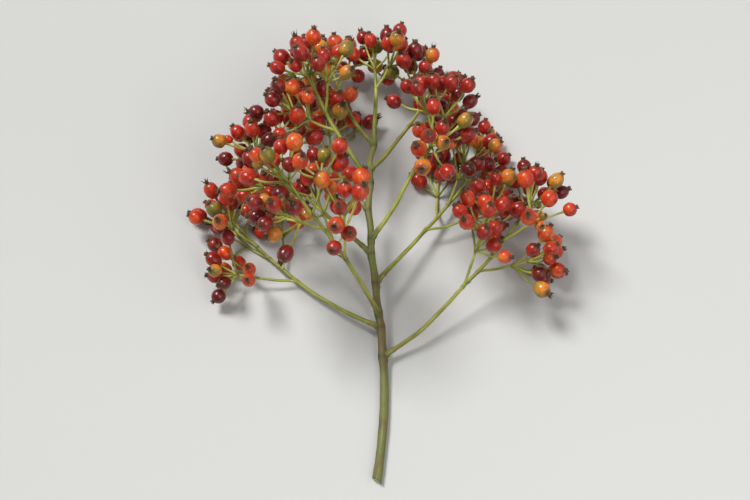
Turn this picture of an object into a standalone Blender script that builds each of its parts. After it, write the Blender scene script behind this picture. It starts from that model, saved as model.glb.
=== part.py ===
"""Rose hip sprig: one cut, leafless stem of a small-fruited rose that lies on a surface.

The sprig lies along Y, cut end at -Y and tip at +Y, and rests on the plane Z = 0.
The woody main stem is one object. Each side spray, with its axis, arms, fruit stalks
and fruits fused together, is one object, and so is the spray at the tip.
The whole plant is grown as a tree of points by rule, and the tree is then settled:
stalks and fruits that would cross each other or the surface are bent clear. Last, each
fork with few fruits gets one more where it has room.
"""

import math
import random

import bmesh
import bpy
import numpy as np
from mathutils import Matrix, Vector

# Driving dimensions, in metres.
FRUIT_WIDTH = 0.0100
FRUIT_WIDTH_SPREAD = 0.12
FRUIT_LENGTHS = (1.14, 1.36)
STEM_LENGTH = 0.235
STEM_STEP = 0.0094
STEM_LYING = 0.055
STEM_RISE = 0.033
STEM_RADIUS = 0.0029
STEM_TIP_RADIUS = 0.0017
STEM_SWAY = 0.0050
STEM_ZIGZAG = 0.0009
CUT_SLANT = 0.0030
SPRAY_LENGTHS = (0.122, 0.056)
AXIS_RADII = (0.00155, 0.00095)
ARM_RADII = (0.00100, 0.00075)
PEDICEL_RADII = (0.00068, 0.00062)
PEDICEL_LENGTHS = (0.0150, 0.0225)
TIP_AXIS_LENGTH = 0.044
COLLAR_LENGTH = 0.0055
NODE_GAP = 0.0003
FORK_SINK = 0.0006

# Counts, shares and angles of the branching.
SEED = 30
SPRAY_COUNT = 10
SPRAY_SPAN = (0.36, 0.96)
SPRAY_LEANS = (math.radians(61), math.radians(36))
FIRST_ROLL = math.radians(84)
GOLDEN_TURN = math.radians(137.5)
SIDEWAYS = {"above": 0.25, "below": 0.60}
AXIS_STEP = 0.0135
BARE_SHARE = 0.36
ARM_LEAN = (math.radians(38), math.radians(54))
ARM_REACH = 0.46
ARM_SHORTEST = 0.010
SIDE_CYME_FROM = 0.027
ARM_FRUITS = (2, 3, 4)
TOP_FRUITS = (3, 4)
TIP_FRUITS = 5
CENTRE_LEAN = (math.radians(3), math.radians(12))
SIDE_LEAN = (math.radians(30), math.radians(50))
UPWARD_PULL = {"axis": 0.36, "arm": 0.26, "pedicel": 0.30}
WOBBLE = {"axis": 0.050, "arm": 0.050, "pedicel": 0.060}
COLLAR_FLARE = 1.4

# Settling.
CLEARANCE = 0.0007
SETTLE_ROUNDS = 160
SETTLE_PULL = 0.04
SETTLE_SHARE = 0.45

# The corners of a fruit stalk's three-sided section stand this much further out than its radius.
PEDICEL_CORNERS = 1.35

# The second flush: one more fruit at each fork that bears fewer than four and has room.
FLUSH_BELOW = 4
FLUSH_TRIES = 28
FLUSH_CLEARANCE = 0.0012
FLUSH_LEAN = (math.radians(12), math.radians(78))
FLUSH_LENGTHS = (0.0120, 0.0235)
FLUSH_PULL = 0.24

# Facets and finish.
STEM_BEVEL = 2
STALK_BEVEL = 1
TWIG_BEVEL = 0
PEDICEL_SIDES = 3
FRUIT_SIDES = 5
WELD = 1e-7
# Share of the length, share of the half width: flat base, belly, shoulder, and the crown as a point.
FRUIT_PROFILE = ((0.0, 0.42), (0.28, 0.98), (0.68, 0.90), (1.0, 0.0))
STEM_FINISH = ("stem_bark", (0.13, 0.16, 0.05), 0.60)
STALK_FINISH = ("green_stalk", (0.20, 0.27, 0.07), 0.55)
FRUIT_FINISH = ("red_hip", (0.58, 0.035, 0.02), 0.28)

UP = np.array([0.0, 0.0, 1.0])
TIPWARD = np.array([0.0, 1.0, 0.0])


def unit(vector):
    """The vector at length 1."""
    return vector / np.linalg.norm(vector)


def between(pair, share):
    """The value that share of the way from the pair's first to its second."""
    return pair[0] + (pair[1] - pair[0]) * share


def leaning(axis, lean, roll):
    """Unit vector leaning away from axis, to the side given by roll, counted from upward."""
    axis = unit(axis)
    side = unit(np.cross(axis, UP))
    over = np.cross(side, axis)
    return math.cos(lean) * axis + math.sin(lean) * (math.cos(roll) * over + math.sin(roll) * side)


def sideways(roll):
    """The roll, moved from straight up or down towards the nearer side: a lying sprig spreads out flat."""
    wrapped = math.atan2(math.sin(roll), math.cos(roll))
    side = math.copysign(math.pi / 2, wrapped)
    return wrapped + (side - wrapped) * SIDEWAYS["above" if math.cos(roll) > 0 else "below"]


class Growth:
    """The sprig as a tree of points, each with its parent, its radius and its spray."""

    def __init__(self, seed):
        self.random = random.Random(seed)
        self.places = []
        self.parents = []
        self.radii = []
        self.held = []
        self.stalks = []
        self.fruits = []
        self.collars = []

    def add(self, place, parent, radius, held=False):
        """Adds a point and returns its number."""
        self.places.append(np.array(place, float))
        self.parents.append(parent)
        self.radii.append(radius)
        self.held.append(held)
        return len(self.places) - 1

    def grow_stem(self):
        """The main stem: it lies on the surface at its cut end, then climbs into the head."""
        steps = round(STEM_LENGTH / STEM_STEP)
        lowest = STEM_RADIUS * math.cos(math.pi / (4 + 2 * STEM_BEVEL))
        nodes = (SPRAY_SPAN[1] - SPRAY_SPAN[0]) * STEM_LENGTH / (SPRAY_COUNT - 1)
        numbers = []
        for step in range(steps + 1):
            along = step * STEM_STEP
            climb = min(max((along - STEM_LYING) / (0.66 * STEM_LENGTH), 0.0), 1.0)
            zigzag = STEM_ZIGZAG * math.sin(math.pi * along / nodes) * climb
            sway = STEM_SWAY * math.sin(1.9 * math.pi * along / STEM_LENGTH)
            height = lowest + STEM_RISE * climb * climb * (3 - 2 * climb)
            thinning = max(along - STEM_LYING, 0.0) / (STEM_LENGTH - STEM_LYING)
            radius = between((STEM_RADIUS, STEM_TIP_RADIUS), thinning)
            place = (sway + zigzag, along, height)
            numbers.append(self.add(place, numbers[-1] if numbers else -1, radius, held=True))
        self.stalks.append((0, numbers))
        return numbers

    def grow_stalk(self, spray, root, direction, length, steps, radii, kind):
        """A stalk of equal steps from the last point of root, bending towards the tip's side.

        Returns the stalk's points and its end direction.
        """
        numbers = list(root)
        for step in range(1, steps + 1):
            wobble = np.array([self.random.gauss(0, WOBBLE[kind]) for _ in range(3)])
            direction = unit(direction + TIPWARD * UPWARD_PULL[kind] / steps + wobble)
            place = self.places[numbers[-1]] + direction * length / steps
            numbers.append(self.add(place, numbers[-1], between(radii, step / steps)))
        self.stalks.append((spray, numbers))
        return numbers, direction

    def grow_fruit(self, spray, parent, direction, length):
        """A fruit stalk with its fruit: the stalk's last point is the fruit's middle."""
        width = FRUIT_WIDTH * (1 + self.random.uniform(-1, 1) * FRUIT_WIDTH_SPREAD)
        height = width * self.random.uniform(*FRUIT_LENGTHS)
        reach = length + height / 2
        numbers, _ = self.grow_stalk(spray, [parent], direction, reach, 2, PEDICEL_RADII, "pedicel")
        self.fruits.append((spray, numbers[-1], width, height))

    def grow_cyme(self, spray, parent, direction, count, centre=True):
        """Fruits round the end of an arm: a short-stalked one in the middle, the rest leaning out."""
        if centre:
            lean = self.random.uniform(*CENTRE_LEAN)
            roll = self.random.uniform(0, 2 * math.pi)
            length = PEDICEL_LENGTHS[0] * self.random.uniform(0.80, 1.05)
            self.grow_fruit(spray, parent, leaning(direction, lean, roll), length)
        around = count - 1 if centre else count
        first = self.random.uniform(0, 2 * math.pi)
        for number in range(around):
            roll = first + 2 * math.pi * number / around + self.random.uniform(-0.3, 0.3)
            lean = self.random.uniform(*SIDE_LEAN)
            length = self.random.uniform(*PEDICEL_LENGTHS)
            self.grow_fruit(spray, parent, leaning(direction, lean, roll), length)

    def grow_arm(self, spray, parent, direction, length):
        """A side arm of a spray, which ends in a cyme. A long one has a fruit partway along."""
        steps = 3 if length > SIDE_CYME_FROM else 2
        numbers, end = self.grow_stalk(spray, [parent], direction, length, steps, ARM_RADII, "arm")
        if length > SIDE_CYME_FROM:
            partway = self.places[numbers[-2]] - self.places[numbers[-3]]
            self.grow_cyme(spray, numbers[-2], partway, 1, centre=False)
        self.grow_cyme(spray, numbers[-1], end, self.random.choice(ARM_FRUITS))

    def grow_spray(self, spray, root, direction, length, top):
        """A spray: an axis, bare at first, then side arms at a golden turn, and a cyme on its end."""
        steps = max(3, round(length / AXIS_STEP))
        numbers, end = self.grow_stalk(spray, root, direction, length, steps, AXIS_RADII, "axis")
        axis = numbers[len(root) - 1 :]
        roll = self.random.uniform(0, 2 * math.pi)
        for step in range(math.ceil(BARE_SHARE * steps), steps):
            along = self.places[axis[step + 1]] - self.places[axis[step]]
            lean = self.random.uniform(*ARM_LEAN)
            reach = ARM_SHORTEST + ARM_REACH * (1 - step / steps) * length
            self.grow_arm(spray, axis[step], leaning(along, lean, roll), reach)
            roll += GOLDEN_TURN
        self.grow_cyme(spray, axis[-1], end, top)

    def grow_foot(self, place, parent, direction):
        """The held first step of a spray, which starts a small gap beyond the stem."""
        start = self.add(place + direction * NODE_GAP, parent, AXIS_RADII[0], held=True)
        first = self.add(self.places[start] + direction * AXIS_STEP / 2, start, AXIS_RADII[0], held=True)
        return start, first

    def grow(self):
        """Grows the stem, the side sprays in a spiral and the spray at the tip."""
        stem = self.grow_stem()
        for number in range(SPRAY_COUNT):
            share = number / (SPRAY_COUNT - 1)
            base = stem[round(between(SPRAY_SPAN, share) * (len(stem) - 1))]
            tangent = self.places[base + 1] - self.places[base]
            roll = sideways(FIRST_ROLL + number * GOLDEN_TURN)
            direction = leaning(tangent, between(SPRAY_LEANS, share), roll)
            rise = self.radii[base] + COLLAR_LENGTH
            foot = self.add(self.places[base] + direction * rise, base, AXIS_RADII[0], held=True)
            self.collars.append((base, foot))
            root = self.grow_foot(self.places[foot], foot, direction)
            length = between(SPRAY_LENGTHS, share) * self.random.uniform(0.92, 1.08)
            self.grow_spray(number + 1, root, direction, length, top=self.random.choice(TOP_FRUITS))
        tangent = unit(self.places[stem[-1]] - self.places[stem[-2]])
        root = self.grow_foot(self.places[stem[-1]], stem[-1], tangent)
        self.grow_spray(SPRAY_COUNT + 1, root, tangent, TIP_AXIS_LENGTH, top=TIP_FRUITS)


def nearest_shares(first_start, first_end, second_start, second_end):
    """Shares along two sets of segments where each pair comes nearest, for all pairs at once."""
    along_first, along_second = first_end - first_start, second_end - second_start
    offset = first_start - second_start
    a = np.maximum((along_first**2).sum(axis=-1), 1e-12)
    e = np.maximum((along_second**2).sum(axis=-1), 1e-12)
    b = (along_first * along_second).sum(axis=-1)
    c = (along_first * offset).sum(axis=-1)
    f = (along_second * offset).sum(axis=-1)
    s = np.clip((b * f - c * e) / np.maximum(a * e - b * b, 1e-14), 0, 1)
    t = np.clip((b * s + f) / e, 0, 1)
    return np.clip((b * t - c) / a, 0, 1), t


class Settling:
    """Bends the free points of a Growth until no stalks or fruits cross, and none is below the surface.

    Everything is a capsule: a stalk's step between two points, or a fruit at one point twice.
    """

    def __init__(self, growth):
        self.designed = np.array(growth.places)
        self.places = self.designed.copy()
        self.parents = np.array(growth.parents)
        self.free = np.where(growth.held, 0.0, 1.0)
        self.lengths = np.linalg.norm(self.designed - self.designed[self.parents], axis=1)
        self.lowest = np.array(growth.radii) * PEDICEL_CORNERS
        children = range(1, len(self.parents))
        capsules = [(growth.parents[child], child, growth.radii[child]) for child in children]
        for _, middle, width, height in growth.fruits:
            capsules.append((middle, middle, 0.25 * (width + height)))
            self.lowest[middle] = height / 2
        starts, ends, sizes = zip(*capsules)
        self.starts, self.ends, self.sizes = np.array(starts), np.array(ends), np.array(sizes)

    def pairs(self):
        """Pairs of capsules that share no point, can move, and are near enough to touch soon."""
        middles = (self.places[self.starts] + self.places[self.ends]) / 2
        halves = np.linalg.norm(self.places[self.starts] - self.places[self.ends], axis=1) / 2 + self.sizes
        first, second = np.triu_indices(len(self.starts), 1)
        apart = np.linalg.norm(middles[first] - middles[second], axis=1)
        near = apart < halves[first] + halves[second] + 6 * CLEARANCE
        first, second = first[near], second[near]
        ends = [self.starts[first], self.ends[first], self.starts[second], self.ends[second]]
        shared = (ends[0] == ends[2]) | (ends[0] == ends[3]) | (ends[1] == ends[2]) | (ends[1] == ends[3])
        own_stalk = (self.parents[ends[0]] == ends[3]) | (self.parents[ends[2]] == ends[1])
        moving = self.free[np.stack(ends)].any(axis=0)
        keep = ~shared & ~own_stalk & moving
        return first[keep], second[keep]

    def part_pairs(self, first, second):
        """Moves each pair that is too close apart along the line between its nearest points."""
        points = np.stack([self.starts[first], self.ends[first], self.starts[second], self.ends[second]])
        s, t = nearest_shares(*self.places[points])
        weights = np.stack([1 - s, s, t - 1, -t])
        line = (weights[:, :, None] * self.places[points]).sum(axis=0)
        distance = np.maximum(np.linalg.norm(line, axis=1), 1e-6)
        lack = self.sizes[first] + self.sizes[second] + CLEARANCE - distance
        close = lack > 0
        points, weights = points[:, close], weights[:, close]
        free = self.free[points]
        total = np.maximum((free * weights**2).sum(axis=0), 1e-3)
        push = (SETTLE_SHARE * lack[close] / total)[:, None] * (line / distance[:, None])[close]
        for weight, point, loose in zip(weights, points, free):
            np.add.at(self.places, point, (loose * weight)[:, None] * push)

    def keep_lengths(self):
        """Puts every free point back at its own length from its parent, parents first."""
        for child in np.flatnonzero(self.free):
            parent = self.places[self.parents[child]]
            self.places[child] = parent + unit(self.places[child] - parent) * self.lengths[child]

    def run(self):
        """Settles the points and returns their places."""
        for turn in range(SETTLE_ROUNDS):
            if turn % 8 == 0:
                first, second = self.pairs()
            if turn < 0.6 * SETTLE_ROUNDS:
                self.places += SETTLE_PULL * self.free[:, None] * (self.designed - self.places)
            self.part_pairs(first, second)
            self.keep_lengths()
            below = (self.free > 0) & (self.places[:, 2] < self.lowest)
            self.places[below, 2] = self.lowest[below]
        return self.places


class SecondFlush:
    """More fruits on a settled growth.

    At each fork several directions are tried, and the one with the most room is taken, if that is enough.
    """

    def __init__(self, growth, low, high):
        self.growth = growth
        self.low, self.high = low, high
        self.random = random.Random(SEED + 1)

    def list_solids(self):
        """Lists every step of a stalk and every fruit as a capsule: its ends, radius and point numbers."""
        growth = self.growth
        places, parents, radii = (np.array(each) for each in (growth.places, growth.parents, growth.radii))
        middles, widths, heights = (np.array(column) for column in list(zip(*growth.fruits))[1:])
        axes = places[middles] - places[parents[middles]]
        halves = axes / np.linalg.norm(axes, axis=1, keepdims=True) * ((heights - widths) / 2)[:, None]
        self.starts = np.concatenate([places[parents[1:]], places[middles] - halves])
        self.ends = np.concatenate([places[1:], places[middles] + halves])
        self.sizes = np.concatenate([radii[1:], widths / 2])
        self.numbers = np.stack([parents, np.arange(len(parents))])[:, 1:]
        self.numbers = np.concatenate([self.numbers, np.stack([middles, middles])], axis=1)

    def room(self, starts, ends, size, counted):
        """The least room round each of the tried capsules, to all capsules that are counted."""
        s, t = nearest_shares(starts[:, None], ends[:, None], self.starts[None], self.ends[None])
        first = starts[:, None] + (ends - starts)[:, None] * s[..., None]
        second = self.starts + (self.ends - self.starts) * t[..., None]
        gaps = np.linalg.norm(first - second, axis=-1) - size - self.sizes
        return np.where(counted, gaps, np.inf).min(axis=1)

    def try_fork(self, fork, spray):
        """Adds one fruit at a fork, if there is room for it."""
        growth = self.growth
        width = FRUIT_WIDTH * (1 + self.random.uniform(-1, 1) * FRUIT_WIDTH_SPREAD)
        height = width * self.random.uniform(*FRUIT_LENGTHS)
        heading = growth.places[fork] - growth.places[growth.parents[fork]]
        place = growth.places[fork]
        tried = []
        for _ in range(FLUSH_TRIES):
            out = leaning(heading, self.random.uniform(*FLUSH_LEAN), self.random.uniform(0, 2 * math.pi))
            reach = self.random.uniform(*FLUSH_LENGTHS) + height / 2
            bent = unit(out + TIPWARD * FLUSH_PULL)
            halfway = place + out * reach / 2
            tried.append((halfway, halfway + bent * reach / 2, bent * (height - width) / 2))
        halfways, middles, halves = np.array(tried).transpose(1, 0, 2)
        self.list_solids()
        every, others = np.ones(len(self.sizes), bool), (self.numbers != fork).all(axis=0)
        roots = np.broadcast_to(place, halfways.shape)
        rooms = [self.room(middles - halves, middles + halves, width / 2, every)]
        rooms.append(self.room(halfways, middles, PEDICEL_RADII[0], every))
        rooms.append(self.room(roots, halfways, PEDICEL_RADII[0], others))
        reach = np.abs(halves) + width / 2
        inside = ((middles - reach > self.low) & (middles + reach < self.high)).all(axis=1)
        least = np.where(inside, np.min(rooms, axis=0), -1.0)
        best = int(np.argmax(least))
        if least[best] < FLUSH_CLEARANCE:
            return
        halfway = growth.add(halfways[best], fork, PEDICEL_RADII[0])
        middle = growth.add(middles[best], halfway, PEDICEL_RADII[1])
        growth.stalks.append((spray, [fork, halfway, middle]))
        growth.fruits.append((spray, middle, width, height))

    def run(self):
        """Visits every fork that bears few fruits."""
        parents = self.growth.parents
        forks = [(parents[parents[middle]], spray) for spray, middle, _, _ in self.growth.fruits]
        for fork in sorted(set(forks)):
            if forks.count(fork) < FLUSH_BELOW:
                self.try_fork(*fork)


def grown_and_settled():
    """The growth with its points settled, centred on the origin along X and Y, and with its second flush."""
    growth = Growth(SEED)
    growth.grow()
    places = Settling(growth).run()
    reach = np.array(growth.radii)
    for _, middle, _, height in growth.fruits:
        reach[middle] = height / 2
    low = (places - reach[:, None]).min(axis=0)
    high = (places + reach[:, None]).max(axis=0)
    low[1] = places[0, 1]
    low[2] = 0.0
    centre = (low + high) / 2
    centre[2] = 0.0
    growth.places = list(places - centre)
    SecondFlush(growth, low - centre, high - centre).run()
    return growth


def finish(name, colour, roughness):
    """A plain material."""
    material = bpy.data.materials.new(name)
    material.use_nodes = True
    shader = material.node_tree.nodes["Principled BSDF"]
    shader.inputs["Base Color"].default_value = (*colour, 1.0)
    shader.inputs["Roughness"].default_value = roughness
    material.diffuse_color = (*colour, 1.0)
    return material


def collected(name):
    """A new collection in the scene."""
    collection = bpy.data.collections.new(name)
    bpy.context.scene.collection.children.link(collection)
    return collection


def as_mesh(obj, collection):
    """A mesh object made from what obj evaluates to, welded. obj is removed."""
    bpy.context.view_layer.update()
    graph = bpy.context.evaluated_depsgraph_get()
    mesh = bpy.data.meshes.new_from_object(obj.evaluated_get(graph))
    made = bpy.data.objects.new(obj.name + "_mesh", mesh)
    made.matrix_world = obj.matrix_world
    collection.objects.link(made)
    bpy.data.objects.remove(obj, do_unlink=True)
    weld = bmesh.new()
    weld.from_mesh(mesh)
    bmesh.ops.remove_doubles(weld, verts=weld.verts, dist=WELD)
    bmesh.ops.recalc_face_normals(weld, faces=weld.faces)
    weld.to_mesh(mesh)
    weld.free()
    return made


def pedicel_section(collection):
    """The cross section of a fruit stalk: an even polygon, one unit from middle to corner."""
    curve = bpy.data.curves.new("pedicel_section", "CURVE")
    spline = curve.splines.new("POLY")
    spline.points.add(PEDICEL_SIDES - 1)
    spline.use_cyclic_u = True
    for number, point in enumerate(spline.points):
        angle = 2 * math.pi * number / PEDICEL_SIDES
        point.co = (math.cos(angle), math.sin(angle), 0.0, 1.0)
    obj = bpy.data.objects.new("pedicel_section", curve)
    collection.objects.link(obj)
    return obj


def tube(name, places, radii, bevel, collection, materials, tilt=0.0):
    """A closed tube along the places, as a mesh object. Its bevel is a resolution or a cross section."""
    curve = bpy.data.curves.new(name, "CURVE")
    curve.dimensions = "3D"
    if isinstance(bevel, int):
        curve.bevel_depth = 1.0
        curve.bevel_resolution = bevel
    else:
        curve.bevel_mode = "OBJECT"
        curve.bevel_object = bevel
    curve.use_fill_caps = True
    spline = curve.splines.new("POLY")
    spline.points.add(len(places) - 1)
    for point, place, radius in zip(spline.points, places, radii):
        point.co = (*place, 1.0)
        point.radius = radius
        point.tilt = tilt
    obj = bpy.data.objects.new(name, curve)
    collection.objects.link(obj)
    made = as_mesh(obj, collection)
    for material in materials:
        made.data.materials.append(material)
    return made


def fruit_mesh(materials):
    """The turned shape of a fruit, one unit wide from its axis and one long, from z = 0 up."""
    profile = bpy.data.meshes.new("fruit_profile")
    points = [(half, 0.0, along) for along, half in reversed(FRUIT_PROFILE)]
    profile.from_pydata(points, [(number, number + 1) for number in range(len(points) - 1)], [])
    obj = bpy.data.objects.new("fruit_profile", profile)
    bpy.context.scene.collection.objects.link(obj)
    screw = obj.modifiers.new("turn", "SCREW")
    screw.steps = FRUIT_SIDES
    screw.render_steps = FRUIT_SIDES
    screw.use_merge_vertices = True
    screw.merge_threshold = 1e-4
    made = as_mesh(obj, bpy.context.scene.collection)
    mesh = made.data
    bpy.data.objects.remove(made, do_unlink=True)
    shell = bmesh.new()
    shell.from_mesh(mesh)
    bmesh.ops.holes_fill(shell, edges=shell.edges, sides=FRUIT_SIDES)
    bmesh.ops.recalc_face_normals(shell, faces=shell.faces)
    shell.to_mesh(mesh)
    shell.free()
    for material in materials:
        mesh.materials.append(material)
    for polygon in mesh.polygons:
        polygon.material_index = 1
    return mesh


def fused(name, pieces, parts):
    """One object, the union of the pieces. The pieces are removed."""
    body, others = pieces[0], collected(name + "_pieces")
    for piece in pieces[1:]:
        for holder in list(piece.users_collection):
            holder.objects.unlink(piece)
        others.objects.link(piece)
    union = body.modifiers.new("union", "BOOLEAN")
    union.operation = "UNION"
    union.solver = "EXACT"
    union.operand_type = "COLLECTION"
    union.collection = others
    union.material_mode = "TRANSFER"
    made = as_mesh(body, parts)
    made.name = name
    made.data.name = name
    for piece in list(others.objects):
        bpy.data.objects.remove(piece, do_unlink=True)
    bpy.data.collections.remove(others)
    return made


def stalk_places(growth, numbers, first_sunk):
    """The places along a stalk. A stalk that grows from another starts a little back inside it."""
    places = [growth.places[number] for number in numbers]
    if first_sunk:
        root = numbers[0]
        backward = unit(growth.places[root] - growth.places[growth.parents[root]])
        places[0] = places[0] - backward * FORK_SINK
    return places


def make_spray(growth, spray, name, fruit, section, finishes, parts):
    """A spray: its stalks as tubes, and its fruits, fused into one body."""
    pieces = []
    stalks = [numbers for number, numbers in growth.stalks if number == spray]
    middles = {middle for _, middle, _, _ in growth.fruits}
    for order, numbers in enumerate(stalks):
        radii = [growth.radii[number] for number in numbers]
        if order:
            radii[0] = radii[1]
        bevel = STALK_BEVEL if order == 0 else TWIG_BEVEL
        if numbers[-1] in middles:
            bevel = section
            radii = [radius * PEDICEL_CORNERS for radius in radii]
        places = stalk_places(growth, numbers, first_sunk=order > 0)
        pieces.append(tube(f"{name}_stalk", places, radii, bevel, parts, finishes))
    for number, middle, width, height in growth.fruits:
        if number != spray:
            continue
        along = unit(growth.places[middle] - growth.places[growth.parents[middle]])
        base = Vector(growth.places[middle] - along * height / 2)
        turn = Vector(along).to_track_quat("Z", "Y").to_matrix().to_4x4()
        size = Matrix.Diagonal((width / 2, width / 2, height, 1.0))
        obj = bpy.data.objects.new(f"{name}_fruit", fruit)
        obj.matrix_world = Matrix.Translation(base) @ turn @ size
        parts.objects.link(obj)
        pieces.append(obj)
    return fused(name, pieces, parts)


def make_stem(growth, finishes, parts):
    """The main stem: a tapered tube, cut slantwise at its foot, with a collar for each side spray."""
    numbers = growth.stalks[0][1]
    places = [growth.places[number] for number in numbers]
    radii = [growth.radii[number] for number in numbers]
    sides = 4 + 2 * STEM_BEVEL
    stem = tube("stem_tube", places, radii, STEM_BEVEL, parts, finishes, tilt=math.pi / sides)
    pieces = [stem]
    for base, foot in growth.collars:
        radius = growth.radii[foot]
        ends = [growth.places[base], growth.places[foot]]
        pieces.append(tube("collar", ends, [radius * COLLAR_FLARE, radius], STALK_BEVEL, parts, finishes))
    made = fused("main_stem", pieces, parts)
    cut = bmesh.new()
    cut.from_mesh(made.data)
    foot = Vector(places[0]) + Vector((0, CUT_SLANT / 2, 0))
    slant = Vector((-CUT_SLANT, -2 * STEM_RADIUS, 0)).normalized()
    whole = cut.verts[:] + cut.edges[:] + cut.faces[:]
    sliced = bmesh.ops.bisect_plane(cut, geom=whole, plane_co=foot, plane_no=slant, clear_outer=True)
    edges = [edge for edge in sliced["geom_cut"] if isinstance(edge, bmesh.types.BMEdge)]
    bmesh.ops.contextual_create(cut, geom=edges)
    bmesh.ops.recalc_face_normals(cut, faces=cut.faces)
    cut.to_mesh(made.data)
    cut.free()
    return made


def main():
    """Clears the scene and makes the sprig."""
    for obj in list(bpy.data.objects):
        bpy.data.objects.remove(obj, do_unlink=True)
    parts = collected("rose_hip_sprig")
    growth = grown_and_settled()
    bark, green, red = (finish(*settings) for settings in (STEM_FINISH, STALK_FINISH, FRUIT_FINISH))
    make_stem(growth, [bark], parts)
    fruit, section = fruit_mesh([green, red]), pedicel_section(parts)
    for spray in range(1, SPRAY_COUNT + 1):
        make_spray(growth, spray, f"spray_{spray:02d}", fruit, section, [green, red], parts)
    make_spray(growth, SPRAY_COUNT + 1, "tip_spray", fruit, section, [green, red], parts)
    bpy.data.objects.remove(section, do_unlink=True)
    for obj in parts.objects:
        obj.data.shade_smooth()
        obj.data.set_sharp_from_angle(angle=math.radians(40))


if __name__ == "__main__":
    main()
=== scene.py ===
"""Rose hip sprig, dressed: the fine stem, stalks, hips, dry crowns and bracts of one cut sprig.

The sprig lies on a pale surface with its cut end at -Y and its tip at +Y. The growth below follows
the same rules and the same draws as the solids of the frame, so every stalk and every hip of the
frame gets its fine piece in its own place. More hips are then set wherever a fork has room.
Lengths are in metres, angles in radians.
"""

import logging
import math
import random
from dataclasses import dataclass, field
from enum import Enum

import bpy
import numpy as np
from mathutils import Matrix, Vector

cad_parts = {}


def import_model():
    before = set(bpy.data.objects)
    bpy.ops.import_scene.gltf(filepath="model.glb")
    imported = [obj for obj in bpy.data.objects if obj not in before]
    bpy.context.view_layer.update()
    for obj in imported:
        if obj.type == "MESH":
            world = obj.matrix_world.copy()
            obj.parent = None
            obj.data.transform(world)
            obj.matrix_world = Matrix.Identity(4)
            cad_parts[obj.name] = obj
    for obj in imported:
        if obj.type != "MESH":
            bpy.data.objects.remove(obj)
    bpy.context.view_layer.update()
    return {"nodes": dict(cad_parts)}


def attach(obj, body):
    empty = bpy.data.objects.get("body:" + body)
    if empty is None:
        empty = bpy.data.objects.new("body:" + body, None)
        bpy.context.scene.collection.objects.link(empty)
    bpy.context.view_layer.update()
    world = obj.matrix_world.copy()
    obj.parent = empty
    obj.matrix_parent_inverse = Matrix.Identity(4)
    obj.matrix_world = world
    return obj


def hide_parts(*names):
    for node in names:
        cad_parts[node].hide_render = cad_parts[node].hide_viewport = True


LOG = logging.getLogger("rose_hip_sprig")
Array = np.ndarray
Object = bpy.types.Object
Material = bpy.types.Material
Tree = bpy.types.NodeTree
Node = bpy.types.Node
Socket = bpy.types.NodeSocket
Sockets = bpy.types.bpy_prop_collection
Pair = tuple[float, float]
Triple = tuple[float, float, float]
Colour = tuple[float, float, float, float]
UP = np.array([0.0, 0.0, 1.0])
TIPWARD = np.array([0.0, 1.0, 0.0])

# The least values that something is divided by.
LEAST_SQUARE = 1e-12
LEAST_SPREAD = 1e-14
LEAST_DISTANCE = 1e-6
LEAST_FREEDOM = 1e-3

# The seed before the first spray's own, and the range of a draw of any angle, a little over a full turn.
FIRST_SPRAY_SEED = 1000
ALL_ROUND = 6.3


def unit(vectors: Array) -> Array:
    """The vectors at length 1, along the last axis."""
    return vectors / np.maximum(np.linalg.norm(vectors, axis=-1, keepdims=True), LEAST_SQUARE)


def between(pair: Pair, share: float) -> float:
    """The value that share of the way from the pair's first to its second."""
    return pair[0] + (pair[1] - pair[0]) * share


def smoothstep(low: float, high: float, values: Array) -> Array:
    """0 below low, 1 above high, and 3t^2 - 2t^3 between them."""
    share = np.clip((values - low) / (high - low), 0.0, 1.0)
    return share * share * (3 - 2 * share)


def leaning(axis: Array, lean: float, roll: float) -> Array:
    """A direction leaning away from an axis.

    Args:
        axis: The axis leaned away from.
        lean: The angle between the two.
        roll: The side it leans to, counted round the axis from upward.

    Returns:
        The direction, at length 1.
    """
    axis = unit(axis)
    side = unit(np.cross(axis, UP))
    over = np.cross(side, axis)
    return math.cos(lean) * axis + math.sin(lean) * (math.cos(roll) * over + math.sin(roll) * side)


class StalkKind(Enum):
    """The ranks of branching. The value is how old a stalk looks, from 0 fresh green to 1 bark."""

    STEM = 1.0
    AXIS = 0.55
    ARM = 0.30
    PEDICEL = 0.08


@dataclass(frozen=True)
class Rank:
    """How stalks of one rank grow: their radii at either end, bend to the tip's side, and wobble."""

    radii: Pair
    pull: float
    wobble: float


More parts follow.
